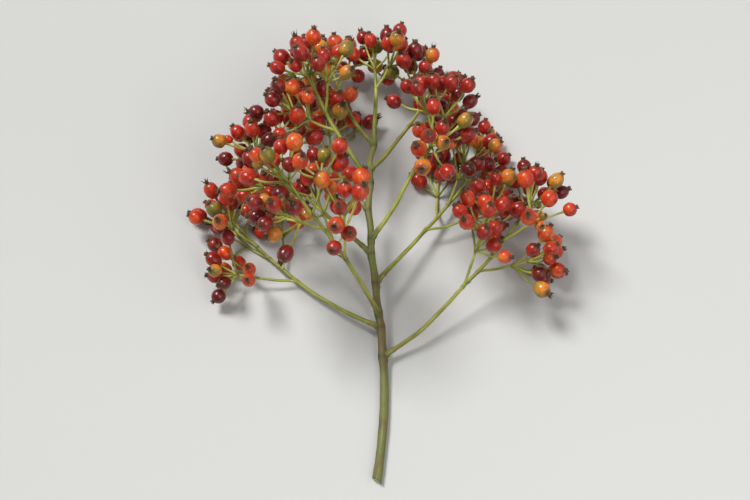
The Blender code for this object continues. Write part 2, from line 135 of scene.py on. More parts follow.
@dataclass(frozen=True)
class Habit:
    """How this rose grows: the sizes, counts and angles that the frame was grown with."""

    seed: int = 30
    fruit_width: float = 0.0100
    fruit_width_spread: float = 0.12
    fruit_lengths: Pair = (1.14, 1.36)
    stem_length: float = 0.235
    stem_step: float = 0.0094
    stem_lying: float = 0.055
    stem_rise: float = 0.033
    stem_climb: float = 0.66
    stem_radius: float = 0.0029
    stem_tip_radius: float = 0.0017
    stem_sway: float = 0.0050
    stem_sway_bends: float = 1.9
    stem_zigzag: float = 0.0009
    stem_sides: int = 8
    cut_slant: float = 0.0030
    spray_count: int = 10
    spray_span: Pair = (0.36, 0.96)
    spray_lengths: Pair = (0.122, 0.056)
    spray_length_draw: Pair = (0.92, 1.08)
    spray_leans: Pair = (math.radians(61), math.radians(36))
    first_roll: float = math.radians(84)
    golden_turn: float = math.radians(137.5)
    sideways_above: float = 0.25
    sideways_below: float = 0.60
    axis_step: float = 0.0135
    axis: Rank = Rank((0.00155, 0.00095), pull=0.36, wobble=0.050)
    bare_share: float = 0.36
    arm_lean: Pair = (math.radians(38), math.radians(54))
    arm_reach: float = 0.46
    arm_shortest: float = 0.010
    arm: Rank = Rank((0.00100, 0.00075), pull=0.26, wobble=0.050)
    side_cyme_from: float = 0.027
    arm_fruits: tuple[int, ...] = (2, 3, 4)
    top_fruits: tuple[int, ...] = (3, 4)
    tip_fruits: int = 5
    tip_axis_length: float = 0.044
    pedicel: Rank = Rank((0.00068, 0.00062), pull=0.30, wobble=0.060)
    pedicel_lengths: Pair = (0.0150, 0.0225)
    pedicel_corners: float = 1.35
    centre_lean: Pair = (math.radians(3), math.radians(12))
    centre_length_draw: Pair = (0.80, 1.05)
    side_lean: Pair = (math.radians(30), math.radians(50))
    side_roll_draw: float = 0.3
    collar_length: float = 0.0055
    node_gap: float = 0.0003
    clearance: float = 0.0007
    settle_rounds: int = 160
    settle_pull: float = 0.04
    settle_share: float = 0.45
    settle_pulled: float = 0.6
    settle_search: int = 8
    settle_search_gap: float = 6.0

    def rank(self, kind: StalkKind) -> Rank:
        """How a stalk of a kind grows."""
        return {StalkKind.AXIS: self.axis, StalkKind.ARM: self.arm}.get(kind, self.pedicel)

    def sideways(self, roll: float) -> float:
        """Moves a roll from straight up or down towards the nearer side: a lying sprig spreads out.

        Args:
            roll: The side that a spray would leave to, counted from upward.

        Returns:
            The roll, between -pi and pi.
        """
        wrapped = math.atan2(math.sin(roll), math.cos(roll))
        side = math.copysign(math.pi / 2, wrapped)
        share = self.sideways_above if math.cos(roll) > 0 else self.sideways_below
        return wrapped + (side - wrapped) * share


@dataclass
class Stalk:
    """One unbranched stretch: the spray it belongs to, its rank and the numbers of its points."""

    spray: int
    kind: StalkKind
    points: list[int]


@dataclass
class Fruit:
    """One hip: its spray, the number of its middle point, its width and its whole length."""

    spray: int
    middle: int
    width: float
    height: float

    @property
    def radius(self) -> float:
        """The radius of a ball of about its size."""
        return 0.25 * (self.width + self.height)


@dataclass
class Growth:
    """The sprig as a tree of points, each with its parent and its radius."""

    habit: Habit
    places: list[Array] = field(default_factory=list)
    parents: list[int] = field(default_factory=list)
    radii: list[float] = field(default_factory=list)
    held: list[bool] = field(default_factory=list)
    stalks: list[Stalk] = field(default_factory=list)
    fruits: list[Fruit] = field(default_factory=list)
    collars: list[tuple[int, int]] = field(default_factory=list)

    def __post_init__(self) -> None:
        """Starts the seeded draws, with the stem, which counts as spray 0."""
        self.random = random.Random(self.habit.seed)
        self.spray = 0

    def add(self, place: Array, parent: int, radius: float, held: bool = False) -> int:
        """Adds a point.

        Args:
            place: Where it is.
            parent: The number of the point before it.
            radius: The stalk's radius there.
            held: Whether settling leaves it in place.

        Returns:
            The number of the new point.
        """
        self.places.append(np.array(place, float))
        self.parents.append(parent)
        self.radii.append(radius)
        self.held.append(held)
        return len(self.places) - 1

    def grow_stem(self) -> list[int]:
        """Grows the main stem, which lies on the surface at its cut end and then climbs into the head.

        Returns:
            The stem's points, from the cut end to the tip.
        """
        habit = self.habit
        steps = round(habit.stem_length / habit.stem_step)
        lowest = habit.stem_radius * math.cos(math.pi / habit.stem_sides)
        nodes = (habit.spray_span[1] - habit.spray_span[0]) * habit.stem_length / (habit.spray_count - 1)
        numbers: list[int] = []
        for step in range(steps + 1):
            along = step * habit.stem_step
            climb = min(max((along - habit.stem_lying) / (habit.stem_climb * habit.stem_length), 0.0), 1.0)
            zigzag = habit.stem_zigzag * math.sin(math.pi * along / nodes) * climb
            sway = habit.stem_sway * math.sin(habit.stem_sway_bends * math.pi * along / habit.stem_length)
            height = lowest + habit.stem_rise * climb * climb * (3 - 2 * climb)
            thinning = max(along - habit.stem_lying, 0.0) / (habit.stem_length - habit.stem_lying)
            radius = between((habit.stem_radius, habit.stem_tip_radius), thinning)
            parent = numbers[-1] if numbers else -1
            numbers.append(self.add(np.array((sway + zigzag, along, height)), parent, radius, held=True))
        self.stalks.append(Stalk(self.spray, StalkKind.STEM, numbers))
        return numbers

    def grow_stalk(
        self, kind: StalkKind, root: list[int], direction: Array, length: float, steps: int
    ) -> tuple[list[int], Array]:
        """Grows a stalk of equal steps that bends towards the tip's side.

        Args:
            kind: Its rank.
            root: The points that it carries on from.
            direction: Where it sets out to.
            length: Its length beyond the root.
            steps: The number of steps.

        Returns:
            The stalk's points, root included, and the direction at its end.
        """
        numbers, rank = list(root), self.habit.rank(kind)
        for step in range(1, steps + 1):
            wobble = np.array([self.random.gauss(0, rank.wobble) for _ in range(3)])
            direction = unit(direction + TIPWARD * rank.pull / steps + wobble)
            place = self.places[numbers[-1]] + direction * length / steps
            numbers.append(self.add(place, numbers[-1], between(rank.radii, step / steps)))
        self.stalks.append(Stalk(self.spray, kind, numbers))
        return numbers, direction

    def grow_fruit(self, parent: int, direction: Array, length: float) -> None:
        """Grows a fruit stalk with its hip. The stalk's last point is the hip's middle.

        Args:
            parent: The fork that it grows from.
            direction: Where it sets out to.
            length: The stalk's length up to the hip.
        """
        habit = self.habit
        width = habit.fruit_width * (1 + self.random.uniform(-1, 1) * habit.fruit_width_spread)
        height = width * self.random.uniform(*habit.fruit_lengths)
        numbers, _ = self.grow_stalk(StalkKind.PEDICEL, [parent], direction, length + height / 2, 2)
        self.fruits.append(Fruit(self.spray, numbers[-1], width, height))

    def grow_cyme(self, parent: int, direction: Array, count: int, centre: bool = True) -> None:
        """Grows hips round a fork: a short-stalked one in the middle, the rest leaning out.

        Args:
            parent: The fork.
            direction: The direction of the stalk that ends there.
            count: How many hips.
            centre: Whether one of them stands in the middle.
        """
        habit = self.habit
        if centre:
            lean = self.random.uniform(*habit.centre_lean)
            roll = self.random.uniform(0, 2 * math.pi)
            length = habit.pedicel_lengths[0] * self.random.uniform(*habit.centre_length_draw)
            self.grow_fruit(parent, leaning(direction, lean, roll), length)
        around = count - 1 if centre else count
        first = self.random.uniform(0, 2 * math.pi)
        draw = habit.side_roll_draw
        for number in range(around):
            roll = first + 2 * math.pi * number / around + self.random.uniform(-draw, draw)
            lean = self.random.uniform(*habit.side_lean)
            length = self.random.uniform(*habit.pedicel_lengths)
            self.grow_fruit(parent, leaning(direction, lean, roll), length)

    def grow_arm(self, parent: int, direction: Array, length: float) -> None:
        """Grows a side arm, which ends in a cyme. A long one has a hip partway along.

        Args:
            parent: The fork that it grows from.
            direction: Where it sets out to.
            length: Its length.
        """
        long = length > self.habit.side_cyme_from
        numbers, end = self.grow_stalk(StalkKind.ARM, [parent], direction, length, 3 if long else 2)
        if long:
            partway = self.places[numbers[-2]] - self.places[numbers[-3]]
            self.grow_cyme(numbers[-2], partway, 1, centre=False)
        self.grow_cyme(numbers[-1], end, self.random.choice(self.habit.arm_fruits))

    def grow_spray(self, root: list[int], direction: Array, length: float, top: int) -> None:
        """Grows a spray: an axis, bare at first, then side arms at a golden turn, and a cyme on its end.

        Args:
            root: The points that its axis carries on from.
            direction: Where it sets out to.
            length: The axis's length beyond the root.
            top: How many hips its end bears.
        """
        habit = self.habit
        self.spray += 1
        steps = max(3, round(length / habit.axis_step))
        numbers, end = self.grow_stalk(StalkKind.AXIS, root, direction, length, steps)
        axis = numbers[len(root) - 1 :]
        roll = self.random.uniform(0, 2 * math.pi)
        for step in range(math.ceil(habit.bare_share * steps), steps):
            along = self.places[axis[step + 1]] - self.places[axis[step]]
            lean = self.random.uniform(*habit.arm_lean)
            reach = habit.arm_shortest + habit.arm_reach * (1 - step / steps) * length
            self.grow_arm(axis[step], leaning(along, lean, roll), reach)
            roll += habit.golden_turn
        self.grow_cyme(axis[-1], end, top)

    def grow_foot(self, place: Array, parent: int, direction: Array) -> list[int]:
        """Adds the held first step of a spray, which starts a small gap beyond the stem.

        Args:
            place: Where the stem or its collar ends.
            parent: The number of the point there.
            direction: Where the spray sets out to.

        Returns:
            The numbers of its two points.
        """
        habit, radius = self.habit, self.habit.axis.radii[0]
        start = self.add(place + direction * habit.node_gap, parent, radius, held=True)
        first = self.add(self.places[start] + direction * habit.axis_step / 2, start, radius, held=True)
        return [start, first]

    def grow(self) -> None:
        """Grows the stem, the side sprays in a spiral and the spray at the tip."""
        habit = self.habit
        stem = self.grow_stem()
        for number in range(habit.spray_count):
            share = number / (habit.spray_count - 1)
            base = stem[round(between(habit.spray_span, share) * (len(stem) - 1))]
            tangent = self.places[base + 1] - self.places[base]
            roll = habit.sideways(habit.first_roll + number * habit.golden_turn)
            direction = leaning(tangent, between(habit.spray_leans, share), roll)
            rise = self.radii[base] + habit.collar_length
            foot = self.add(self.places[base] + direction * rise, base, habit.axis.radii[0], held=True)
            self.collars.append((base, foot))
            root = self.grow_foot(self.places[foot], foot, direction)
            length = between(habit.spray_lengths, share) * self.random.uniform(*habit.spray_length_draw)
            self.grow_spray(root, direction, length, self.random.choice(habit.top_fruits))
        tangent = unit(self.places[stem[-1]] - self.places[stem[-2]])
        root = self.grow_foot(self.places[stem[-1]], stem[-1], tangent)
        self.grow_spray(root, tangent, habit.tip_axis_length, habit.tip_fruits)


def nearest_shares(start: Array, end: Array, other_start: Array, other_end: Array) -> tuple[Array, Array]:
    """Where the segments of two sets come nearest to each other, all pairs at once.

    With u and v along the two segments and w from the other's start to the first's, the shares are
    s = ((uv)(vw) - (uw)(vv)) / ((uu)(vv) - (uv)^2) and t = ((uv) s + (vw)) / (vv), held within 0 and 1.

    Args:
        start: Where the first segments start.
        end: Where they end.
        other_start: Where the second segments start.
        other_end: Where they end.

    Returns:
        The shares along the first and along the second segments.
    """
    along, other_along, offset = end - start, other_end - other_start, start - other_start
    uu = np.maximum((along**2).sum(axis=-1), LEAST_SQUARE)
    vv = np.maximum((other_along**2).sum(axis=-1), LEAST_SQUARE)
    uv = (along * other_along).sum(axis=-1)
    uw = (along * offset).sum(axis=-1)
    vw = (other_along * offset).sum(axis=-1)
    s = np.clip((uv * vw - uw * vv) / np.maximum(uu * vv - uv * uv, LEAST_SPREAD), 0, 1)
    t = np.clip((uv * s + vw) / vv, 0, 1)
    return np.clip((uv * t - uw) / uu, 0, 1), t


@dataclass
class Settling:
    """Bends the free points of a growth until nothing crosses, and nothing is below the surface."""

    growth: Growth

    def __post_init__(self) -> None:
        """Takes the designed places, with a capsule for each step of a stalk and for each hip."""
        growth = self.growth
        self.habit = growth.habit
        self.designed = np.array(growth.places)
        self.places = self.designed.copy()
        self.parents = np.array(growth.parents)
        self.free = np.where(growth.held, 0.0, 1.0)
        self.lengths = np.linalg.norm(self.designed - self.designed[self.parents], axis=1)
        self.lowest = np.array(growth.radii) * self.habit.pedicel_corners
        for fruit in growth.fruits:
            self.lowest[fruit.middle] = fruit.height / 2
        rows = list(zip(growth.parents, range(len(growth.parents)), growth.radii))[1:]
        rows += [(fruit.middle, fruit.middle, fruit.radius) for fruit in growth.fruits]
        self.starts, self.ends, self.sizes = (np.array(column) for column in zip(*rows))

    def pairs(self) -> tuple[Array, Array]:
        """Finds the pairs of capsules that share no point, can move, and are near enough to touch soon.

        Returns:
            The numbers of each pair's two capsules.
        """
        starts, ends = self.starts, self.ends
        middles = (self.places[starts] + self.places[ends]) / 2
        halves = np.linalg.norm(self.places[starts] - self.places[ends], axis=1) / 2 + self.sizes
        first, second = np.triu_indices(len(starts), 1)
        apart = np.linalg.norm(middles[first] - middles[second], axis=1)
        margin = self.habit.settle_search_gap * self.habit.clearance
        near = apart < halves[first] + halves[second] + margin
        first, second = first[near], second[near]
        points = np.stack([starts[first], ends[first], starts[second], ends[second]])
        a, b, c, d = points
        shared = (a == c) | (a == d) | (b == c) | (b == d)
        own_stalk = (self.parents[a] == d) | (self.parents[c] == b)
        keep = ~shared & ~own_stalk & self.free.astype(bool)[points].any(axis=0)
        return first[keep], second[keep]

    def part_pairs(self, first: Array, second: Array) -> None:
        """Moves each pair that is too close apart, along the line between its nearest points.

        Args:
            first: The number of each pair's first capsule.
            second: The number of its second.
        """
        starts, ends = self.starts, self.ends
        points = np.stack([starts[first], ends[first], starts[second], ends[second]])
        s, t = nearest_shares(*(self.places[row] for row in points))
        weights = np.stack([1 - s, s, t - 1, -t])
        line = (weights[:, :, None] * self.places[points]).sum(axis=0)
        distance = np.maximum(np.linalg.norm(line, axis=1), LEAST_DISTANCE)
        lack = self.sizes[first] + self.sizes[second] + self.habit.clearance - distance
        close = lack > 0
        points, weights = points[:, close], weights[:, close]
        free = self.free[points]
        total = np.maximum((free * weights**2).sum(axis=0), LEAST_FREEDOM)
        push = (self.habit.settle_share * lack[close] / total)[:, None] * (line / distance[:, None])[close]
        for weight, point, loose in zip(weights, points, free):
            np.add.at(self.places, point, (loose * weight)[:, None] * push)

    def keep_lengths(self) -> None:
        """Puts every free point back at its own length from its parent, parents first."""
        for child in np.flatnonzero(self.free):
            parent = self.places[self.parents[child]]
            line = self.places[child] - parent
            self.places[child] = parent + line / np.linalg.norm(line) * self.lengths[child]

    def run(self) -> Array:
        """Settles the points, round after round.

        Returns:
            Their places.
        """
        habit = self.habit
        for turn in range(habit.settle_rounds):
            if turn % habit.settle_search == 0:
                first, second = self.pairs()
            if turn < habit.settle_pulled * habit.settle_rounds:
                self.places += habit.settle_pull * self.free[:, None] * (self.designed - self.places)
            self.part_pairs(first, second)
            self.keep_lengths()
            below = (self.free > 0) & (self.places[:, 2] < self.lowest)
            self.places[below, 2] = self.lowest[below]
        return self.places


@dataclass(frozen=True)
class FlushRules:
    """How a flush of more hips is added to a settled growth.

    Each fork that bears fewer hips than a limit tries several directions. Of those with enough room, it
    takes the one with the most room, or in a crowding flush the one with the least.
    """

    seed: int
    below: int
    clearance: float
    rounds: int = 1
    tries: int = 28
    crowding: bool = False
    leans: Pair = (math.radians(12), math.radians(78))
    lengths: Pair = (0.0120, 0.0235)
    pull: float = 0.24
    small_share: float = 0.0
    small_widths: Pair = (0.0050, 0.0068)


SECOND_FLUSH = FlushRules(seed=31, below=4, clearance=0.0012)
CROWDING_FLUSH = FlushRules(
    seed=32,
    below=7,
    clearance=0.0003,
    rounds=3,
    tries=40,
    crowding=True,
    lengths=(0.0090, 0.0235),
    small_share=0.12,
)


@dataclass(frozen=True)
class Tries:
    """One more hip with its tried places: halfway up its stalk, its middle and its half axis, in rows."""

    width: float
    height: float
    halfways: Array
    middles: Array
    halves: Array


@dataclass
class Flush:
    """Adds hips to a settled growth, within the box from its low to its high corner."""

    growth: Growth
    rules: FlushRules
    low: Array
    high: Array

    def __post_init__(self) -> None:
        """Starts the flush's own seeded draws."""
        self.random = random.Random(self.rules.seed)

    def list_solids(self) -> None:
        """Lists every step of a stalk and every hip as a capsule: its ends, radius and point numbers."""
        growth = self.growth
        places, parents, radii = (np.array(each) for each in (growth.places, growth.parents, growth.radii))
        rows = [(fruit.middle, fruit.width, fruit.height) for fruit in growth.fruits]
        middles, widths, heights = (np.array(column) for column in zip(*rows))
        axes = places[middles] - places[parents[middles]]
        halves = axes / np.linalg.norm(axes, axis=1, keepdims=True) * ((heights - widths) / 2)[:, None]
        self.starts = np.concatenate([places[parents[1:]], places[middles] - halves])
        self.ends = np.concatenate([places[1:], places[middles] + halves])
        self.sizes = np.concatenate([radii[1:], widths / 2])
        self.numbers = np.stack([parents, np.arange(len(parents))])[:, 1:]
        self.numbers = np.concatenate([self.numbers, np.stack([middles, middles])], axis=1)

    def room(self, starts: Array, ends: Array, size: float, counted: Array) -> Array:
        """Measures the least room round each tried capsule, to all the listed ones that are counted.

        Args:
            starts: Where the tried capsules start.
            ends: Where they end.
            size: Their radius.
            counted: Which of the listed capsules count.

        Returns:
            The least room of each try.
        """
        s, t = nearest_shares(starts[:, None], ends[:, None], self.starts[None], self.ends[None])
        first = starts[:, None] + (ends - starts)[:, None] * s[..., None]
        second = self.starts + (self.ends - self.starts) * t[..., None]
        gaps = np.linalg.norm(first - second, axis=-1) - size - self.sizes
        return np.where(counted, gaps, np.inf).min(axis=1)

    def draw_tries(self, fork: int) -> Tries:
        """Draws the size and the tried places of one more hip. A share of a flush are small, unripe ones.

        Args:
            fork: The number of the fork that it would grow from.

        Returns:
            The tries.
        """
        habit, rules = self.growth.habit, self.rules
        if rules.small_share and self.random.random() < rules.small_share:
            width = self.random.uniform(*rules.small_widths)
        else:
            width = habit.fruit_width * (1 + self.random.uniform(-1, 1) * habit.fruit_width_spread)
        height = width * self.random.uniform(*habit.fruit_lengths)
        place = self.growth.places[fork]
        heading = place - self.growth.places[self.growth.parents[fork]]
        rows = []
        for _ in range(rules.tries):
            out = leaning(heading, self.random.uniform(*rules.leans), self.random.uniform(0, 2 * math.pi))
            reach = self.random.uniform(*rules.lengths) + height / 2
            bent = unit(out + TIPWARD * rules.pull)
            halfway = place + out * reach / 2
            rows.append((halfway, halfway + bent * reach / 2, bent * (height - width) / 2))
        return Tries(width, height, *np.array(rows).transpose(1, 0, 2))

    def least_room(self, fork: int, tries: Tries) -> Array:
        """Measures the least room of each try.

        Args:
            fork: The fork's number.
            tries: The tries.

        Returns:
            The room, or -1 where the hip would leave the sprig's box.
        """
        self.list_solids()
        radius, half = self.growth.habit.pedicel.radii[0], tries.width / 2
        every, others = np.ones(len(self.sizes), bool), (self.numbers != fork).all(axis=0)
        roots = np.broadcast_to(self.growth.places[fork], tries.halfways.shape)
        rooms = [self.room(tries.middles - tries.halves, tries.middles + tries.halves, half, every)]
        rooms.append(self.room(tries.halfways, tries.middles, radius, every))
        rooms.append(self.room(roots, tries.halfways, radius, others))
        reach = np.abs(tries.halves) + half
        inside = ((tries.middles - reach > self.low) & (tries.middles + reach < self.high)).all(axis=1)
        return np.where(inside, np.min(rooms, axis=0), -1.0)

    def visit(self, fork: int, spray: int) -> None:
        """Adds one hip at a fork if there is room for it.

        Args:
            fork: The fork's number.
            spray: The spray that it belongs to.
        """
        growth, rules = self.growth, self.rules
        tries = self.draw_tries(fork)
        least = self.least_room(fork, tries)
        crowded = np.where(least < rules.clearance, np.inf, least)
        best = int(np.argmin(crowded)) if rules.crowding else int(np.argmax(least))
        if least[best] < rules.clearance:
            return
        radii = growth.habit.pedicel.radii
        halfway = growth.add(tries.halfways[best], fork, radii[0])
        middle = growth.add(tries.middles[best], halfway, radii[1])
        growth.stalks.append(Stalk(spray, StalkKind.PEDICEL, [fork, halfway, middle]))
        growth.fruits.append(Fruit(spray, middle, tries.width, tries.height))

    def run(self) -> None:
        """Visits every fork that bears few hips, round after round."""
        parents = self.growth.parents
        for _ in range(self.rules.rounds):
            forks = [(parents[parents[fruit.middle]], fruit.spray) for fruit in self.growth.fruits]
            for fork in sorted(set(forks)):
                if forks.count(fork) < self.rules.below:
                    self.visit(*fork)


def grown_sprig(habit: Habit) -> Growth:
    """Grows and settles the sprig, centred on the origin along X and Y as the frame is.

    The second flush is in the frame too. The crowding flush after it is not.

    Args:
        habit: How it grows.

    Returns:
        The growth, with its points in the frame's places.
    """
    growth = Growth(habit)
    growth.grow()
    places = Settling(growth).run()
    reach = np.array(growth.radii)
    for fruit in growth.fruits:
        reach[fruit.middle] = fruit.height / 2
    low = (places - reach[:, None]).min(axis=0)
    high = (places + reach[:, None]).max(axis=0)
    low[1] = places[0, 1]
    low[2] = 0.0
    centre = (low + high) / 2
    centre[2] = 0.0
    growth.places = list(places - centre)
    for rules in (SECOND_FLUSH, CROWDING_FLUSH):
        Flush(growth, rules, low - centre, high - centre).run()
        LOG.info("after a flush there are %d hips", len(growth.fruits))
    return growth


@dataclass
class Shells:
    """Closed shells gathered into one mesh.

    A shell is a grid of rings by sides, closed round its sides, with a point closing each end. Named
    marks, one number or one vector for each point, go with it and become the mesh's attributes.
    """

    places: list[Array] = field(default_factory=list)
    quads: list[Array] = field(default_factory=list)
    triangles: list[Array] = field(default_factory=list)
    marks: dict[str, list[Array]] = field(default_factory=dict)
    count: int = 0

    def add(self, rings: Array, **marks: Array | float) -> None:
        """Adds shells.

        Args:
            rings: The points, as an array of shells by rings by sides by XYZ. Seen from the far end,
                the sides run counterclockwise.
            marks: A number or array for each named mark, which spreads over shells by rings by sides.
        """
        shells, depth, sides = rings.shape[:3]
        ends = np.stack([rings[:, 0].mean(axis=1), rings[:, -1].mean(axis=1)], axis=1)
        self.places.append(np.concatenate([rings.reshape(shells, -1, 3), ends], axis=1).reshape(-1, 3))
        here = np.arange(depth * sides).reshape(depth, sides)
        beside = np.roll(here, -1, axis=1)
        quads = np.stack([here[:-1], beside[:-1], beside[1:], here[1:]], axis=-1).reshape(-1, 4)
        near, far = np.full(sides, depth * sides), np.full(sides, depth * sides + 1)
        start = np.stack([near, beside[0], here[0]], axis=-1)
        end = np.stack([far, here[-1], beside[-1]], axis=-1)
        size = depth * sides + 2
        offsets = self.count + size * np.arange(shells)[:, None, None]
        self.quads.append((quads[None] + offsets).reshape(-1, 4))
        self.triangles.append((np.concatenate([start, end])[None] + offsets).reshape(-1, 3))
        self.count += shells * size
        for name, values in marks.items():
            shape = rings.shape if name == "grain" else rings.shape[:3]
            self.marks.setdefault(name, []).append(self.spread(values, shape))

    def spread(self, values: Array | float, shape: tuple[int, ...]) -> Array:
        """Spreads a mark over every point of a set of shells, the points at their ends included.

        Args:
            values: The mark's values, in a shape that spreads over the shells.
            shape: Shells, rings and sides, and 3 if each point has a vector.

        Returns:
            One value for each point.
        """
        full = np.broadcast_to(np.asarray(values, float), shape)
        ends = np.stack([full[:, 0].mean(axis=1), full[:, -1].mean(axis=1)], axis=1)
        flat = full.reshape((shape[0], -1) + shape[3:])
        return np.concatenate([flat, ends], axis=1).reshape((-1,) + shape[3:])

    def piece(self, name: str, material: Material) -> Object:
        """Makes the object, at the origin, with its marks as attributes of its points.

        Args:
            name: The object's name.
            material: Its finish.

        Returns:
            The object.
        """
        mesh = bpy.data.meshes.new(name)
        places = np.concatenate(self.places)
        quads, triangles = np.concatenate(self.quads), np.concatenate(self.triangles)
        corners = np.concatenate([quads.ravel(), triangles.ravel()])
        starts = np.concatenate([4 * np.arange(len(quads)), quads.size + 3 * np.arange(len(triangles))])
        mesh.vertices.add(len(places))
        mesh.vertices.foreach_set("co", places.astype(np.float32).ravel())
        mesh.loops.add(len(corners))
        mesh.loops.foreach_set("vertex_index", corners.astype(np.int32))
        mesh.polygons.add(len(starts))
        mesh.polygons.foreach_set("loop_start", starts.astype(np.int32))
        mesh.polygons.foreach_set("use_smooth", np.ones(len(starts), bool))
        mesh.update(calc_edges=True)
        for mark, parts in self.marks.items():
            values = np.concatenate(parts).astype(np.float32)
            kind, key = ("FLOAT_VECTOR", "vector") if values.ndim == 2 else ("FLOAT", "value")
            mesh.attributes.new(mark, kind, "POINT").data.foreach_set(key, values.ravel())
        mesh.validate()
        mesh.materials.append(material)
        obj = bpy.data.objects.new(name, mesh)
        bpy.context.scene.collection.objects.link(obj)
        return obj


def bent_paths(points: Array, first: Array, last: Array, per_step: int) -> Array:
    """Smooth paths through points.

    Each step is a cubic Hermite curve: with t from 0 to 1, (2t^3 - 3t^2 + 1) a + (t^3 - 2t^2 + t) m +
    (3t^2 - 2t^3) b + (t^3 - t^2) n. Its slopes m and n are half the line between a point's neighbours.

    Args:
        points: Paths by points by XYZ.
        first: The unit direction at each path's first point.
        last: The unit direction at each path's last point.
        per_step: How many samples each step has.

    Returns:
        Paths by samples by XYZ.
    """
    steps = points[:, 1:] - points[:, :-1]
    lengths = np.linalg.norm(steps, axis=-1, keepdims=True)
    slopes = np.empty_like(points)
    slopes[:, 1:-1] = (points[:, 2:] - points[:, :-2]) / 2
    slopes[:, 0] = first * lengths[:, 0]
    slopes[:, -1] = last * lengths[:, -1]
    t = (np.arange(per_step) / per_step)[:, None]
    a, b = points[:, :-1, None], points[:, 1:, None]
    m, n = slopes[:, :-1, None], slopes[:, 1:, None]
    runs = (2 * t**3 - 3 * t**2 + 1) * a + (t**3 - 2 * t**2 + t) * m
    runs = runs + (3 * t**2 - 2 * t**3) * b + (t**3 - t**2) * n
    return np.concatenate([runs.reshape(len(points), -1, 3), points[:, -1:]], axis=1)


def distances(paths: Array) -> Array:
    """How far along its path each sample lies."""
    steps = np.linalg.norm(np.diff(paths, axis=1), axis=-1)
    return np.concatenate([np.zeros((len(paths), 1)), np.cumsum(steps, axis=1)], axis=1)


def square_to(axes: Array, steady: Array) -> tuple[Array, Array]:
    """Two directions across: the axis times the world axis least along the steady one, and times that."""
    first = unit(np.cross(axes, np.eye(3)[np.argmin(np.abs(steady), axis=-1)]))
    return first, np.cross(axes, first)


def across(paths: Array) -> tuple[Array, Array]:
    """The two directions across each path at each sample."""
    tangents = unit(np.gradient(paths, axis=1))
    return square_to(tangents, tangents.mean(axis=1, keepdims=True))


def turns(sides: int) -> Array:
    """The angles of a ring's sides, in equal steps from 0."""
    return 2 * math.pi * np.arange(sides) / sides


def swept(paths: Array, wide: Array, thick: Array, sides: int) -> Array:
    """Carries rings along paths: the path, plus wide cos(a) one way across and thick sin(a) the other.

    Args:
        paths: Paths by samples by XYZ.
        wide: The half width at each sample, or at each sample and side.
        thick: The half thickness, likewise.
        sides: How many sides a ring has.

    Returns:
        Paths by samples by sides by XYZ.
    """
    first, second = (direction[:, :, None] for direction in across(paths))
    angles = turns(sides)[:, None]
    wide, thick = (size[..., None] if size.ndim == 3 else size[..., None, None] for size in (wide, thick))
    return paths[:, :, None] + wide * np.cos(angles) * first + thick * np.sin(angles) * second


def lifted(paths: Array, sizes: Array) -> Array:
    """The paths, lifted wherever a tube of those half sizes round them would go below the surface."""
    heights = np.maximum(paths[..., 2], sizes)
    return np.concatenate([paths[..., :2], heights[..., None]], axis=-1)


def bending(starts: Array, ways: Array, out: Array, bends: Array, lengths: Array, share: Array) -> Array:
    """Paths that set out one way each, and bend out with t^2 over their lengths, at shares t of them."""
    bent = ways[:, None] * share + out[:, None] * bends[:, None, None] * share**2
    return starts[:, None] + bent * lengths[:, None, None]


def grain(lengths: Array, sides: int, girth: float) -> Array:
    """Lays out the unrolled bark: the cosine and sine of the angle times a girth, and the length.

    A pattern that reads it runs along the stalk, and meets itself all round.

    Args:
        lengths: How far along its stalk each ring is.
        sides: How many sides a ring has.
        girth: The radius that the pattern is laid out for.

    Returns:
        A place for each point of each ring.
    """
    angles = turns(sides)
    shape = lengths.shape + (sides,)
    around = [np.broadcast_to(girth * wave(angles), shape) for wave in (np.cos, np.sin)]
    return np.stack([*around, np.broadcast_to(lengths[..., None], shape)], axis=-1)


@dataclass(frozen=True)
class Bell:
    """A swelling along a stalk: how much it adds in its middle, and how far it reaches."""

    height: float
    reach: float

    def at(self, lengths: Array) -> Array:
        """The height times exp(-(length / reach)^2), at each length from its middle."""
        return self.height * np.exp(-((lengths / self.reach) ** 2))

    def near(self, lengths: Array, middles: Array) -> Array:
        """The largest exp(-((length - middle) / reach)^2) of several middles, from 0 to 1."""
        return np.exp(-(((lengths[..., None] - middles) / self.reach) ** 2)).max(axis=-1, initial=0.0)


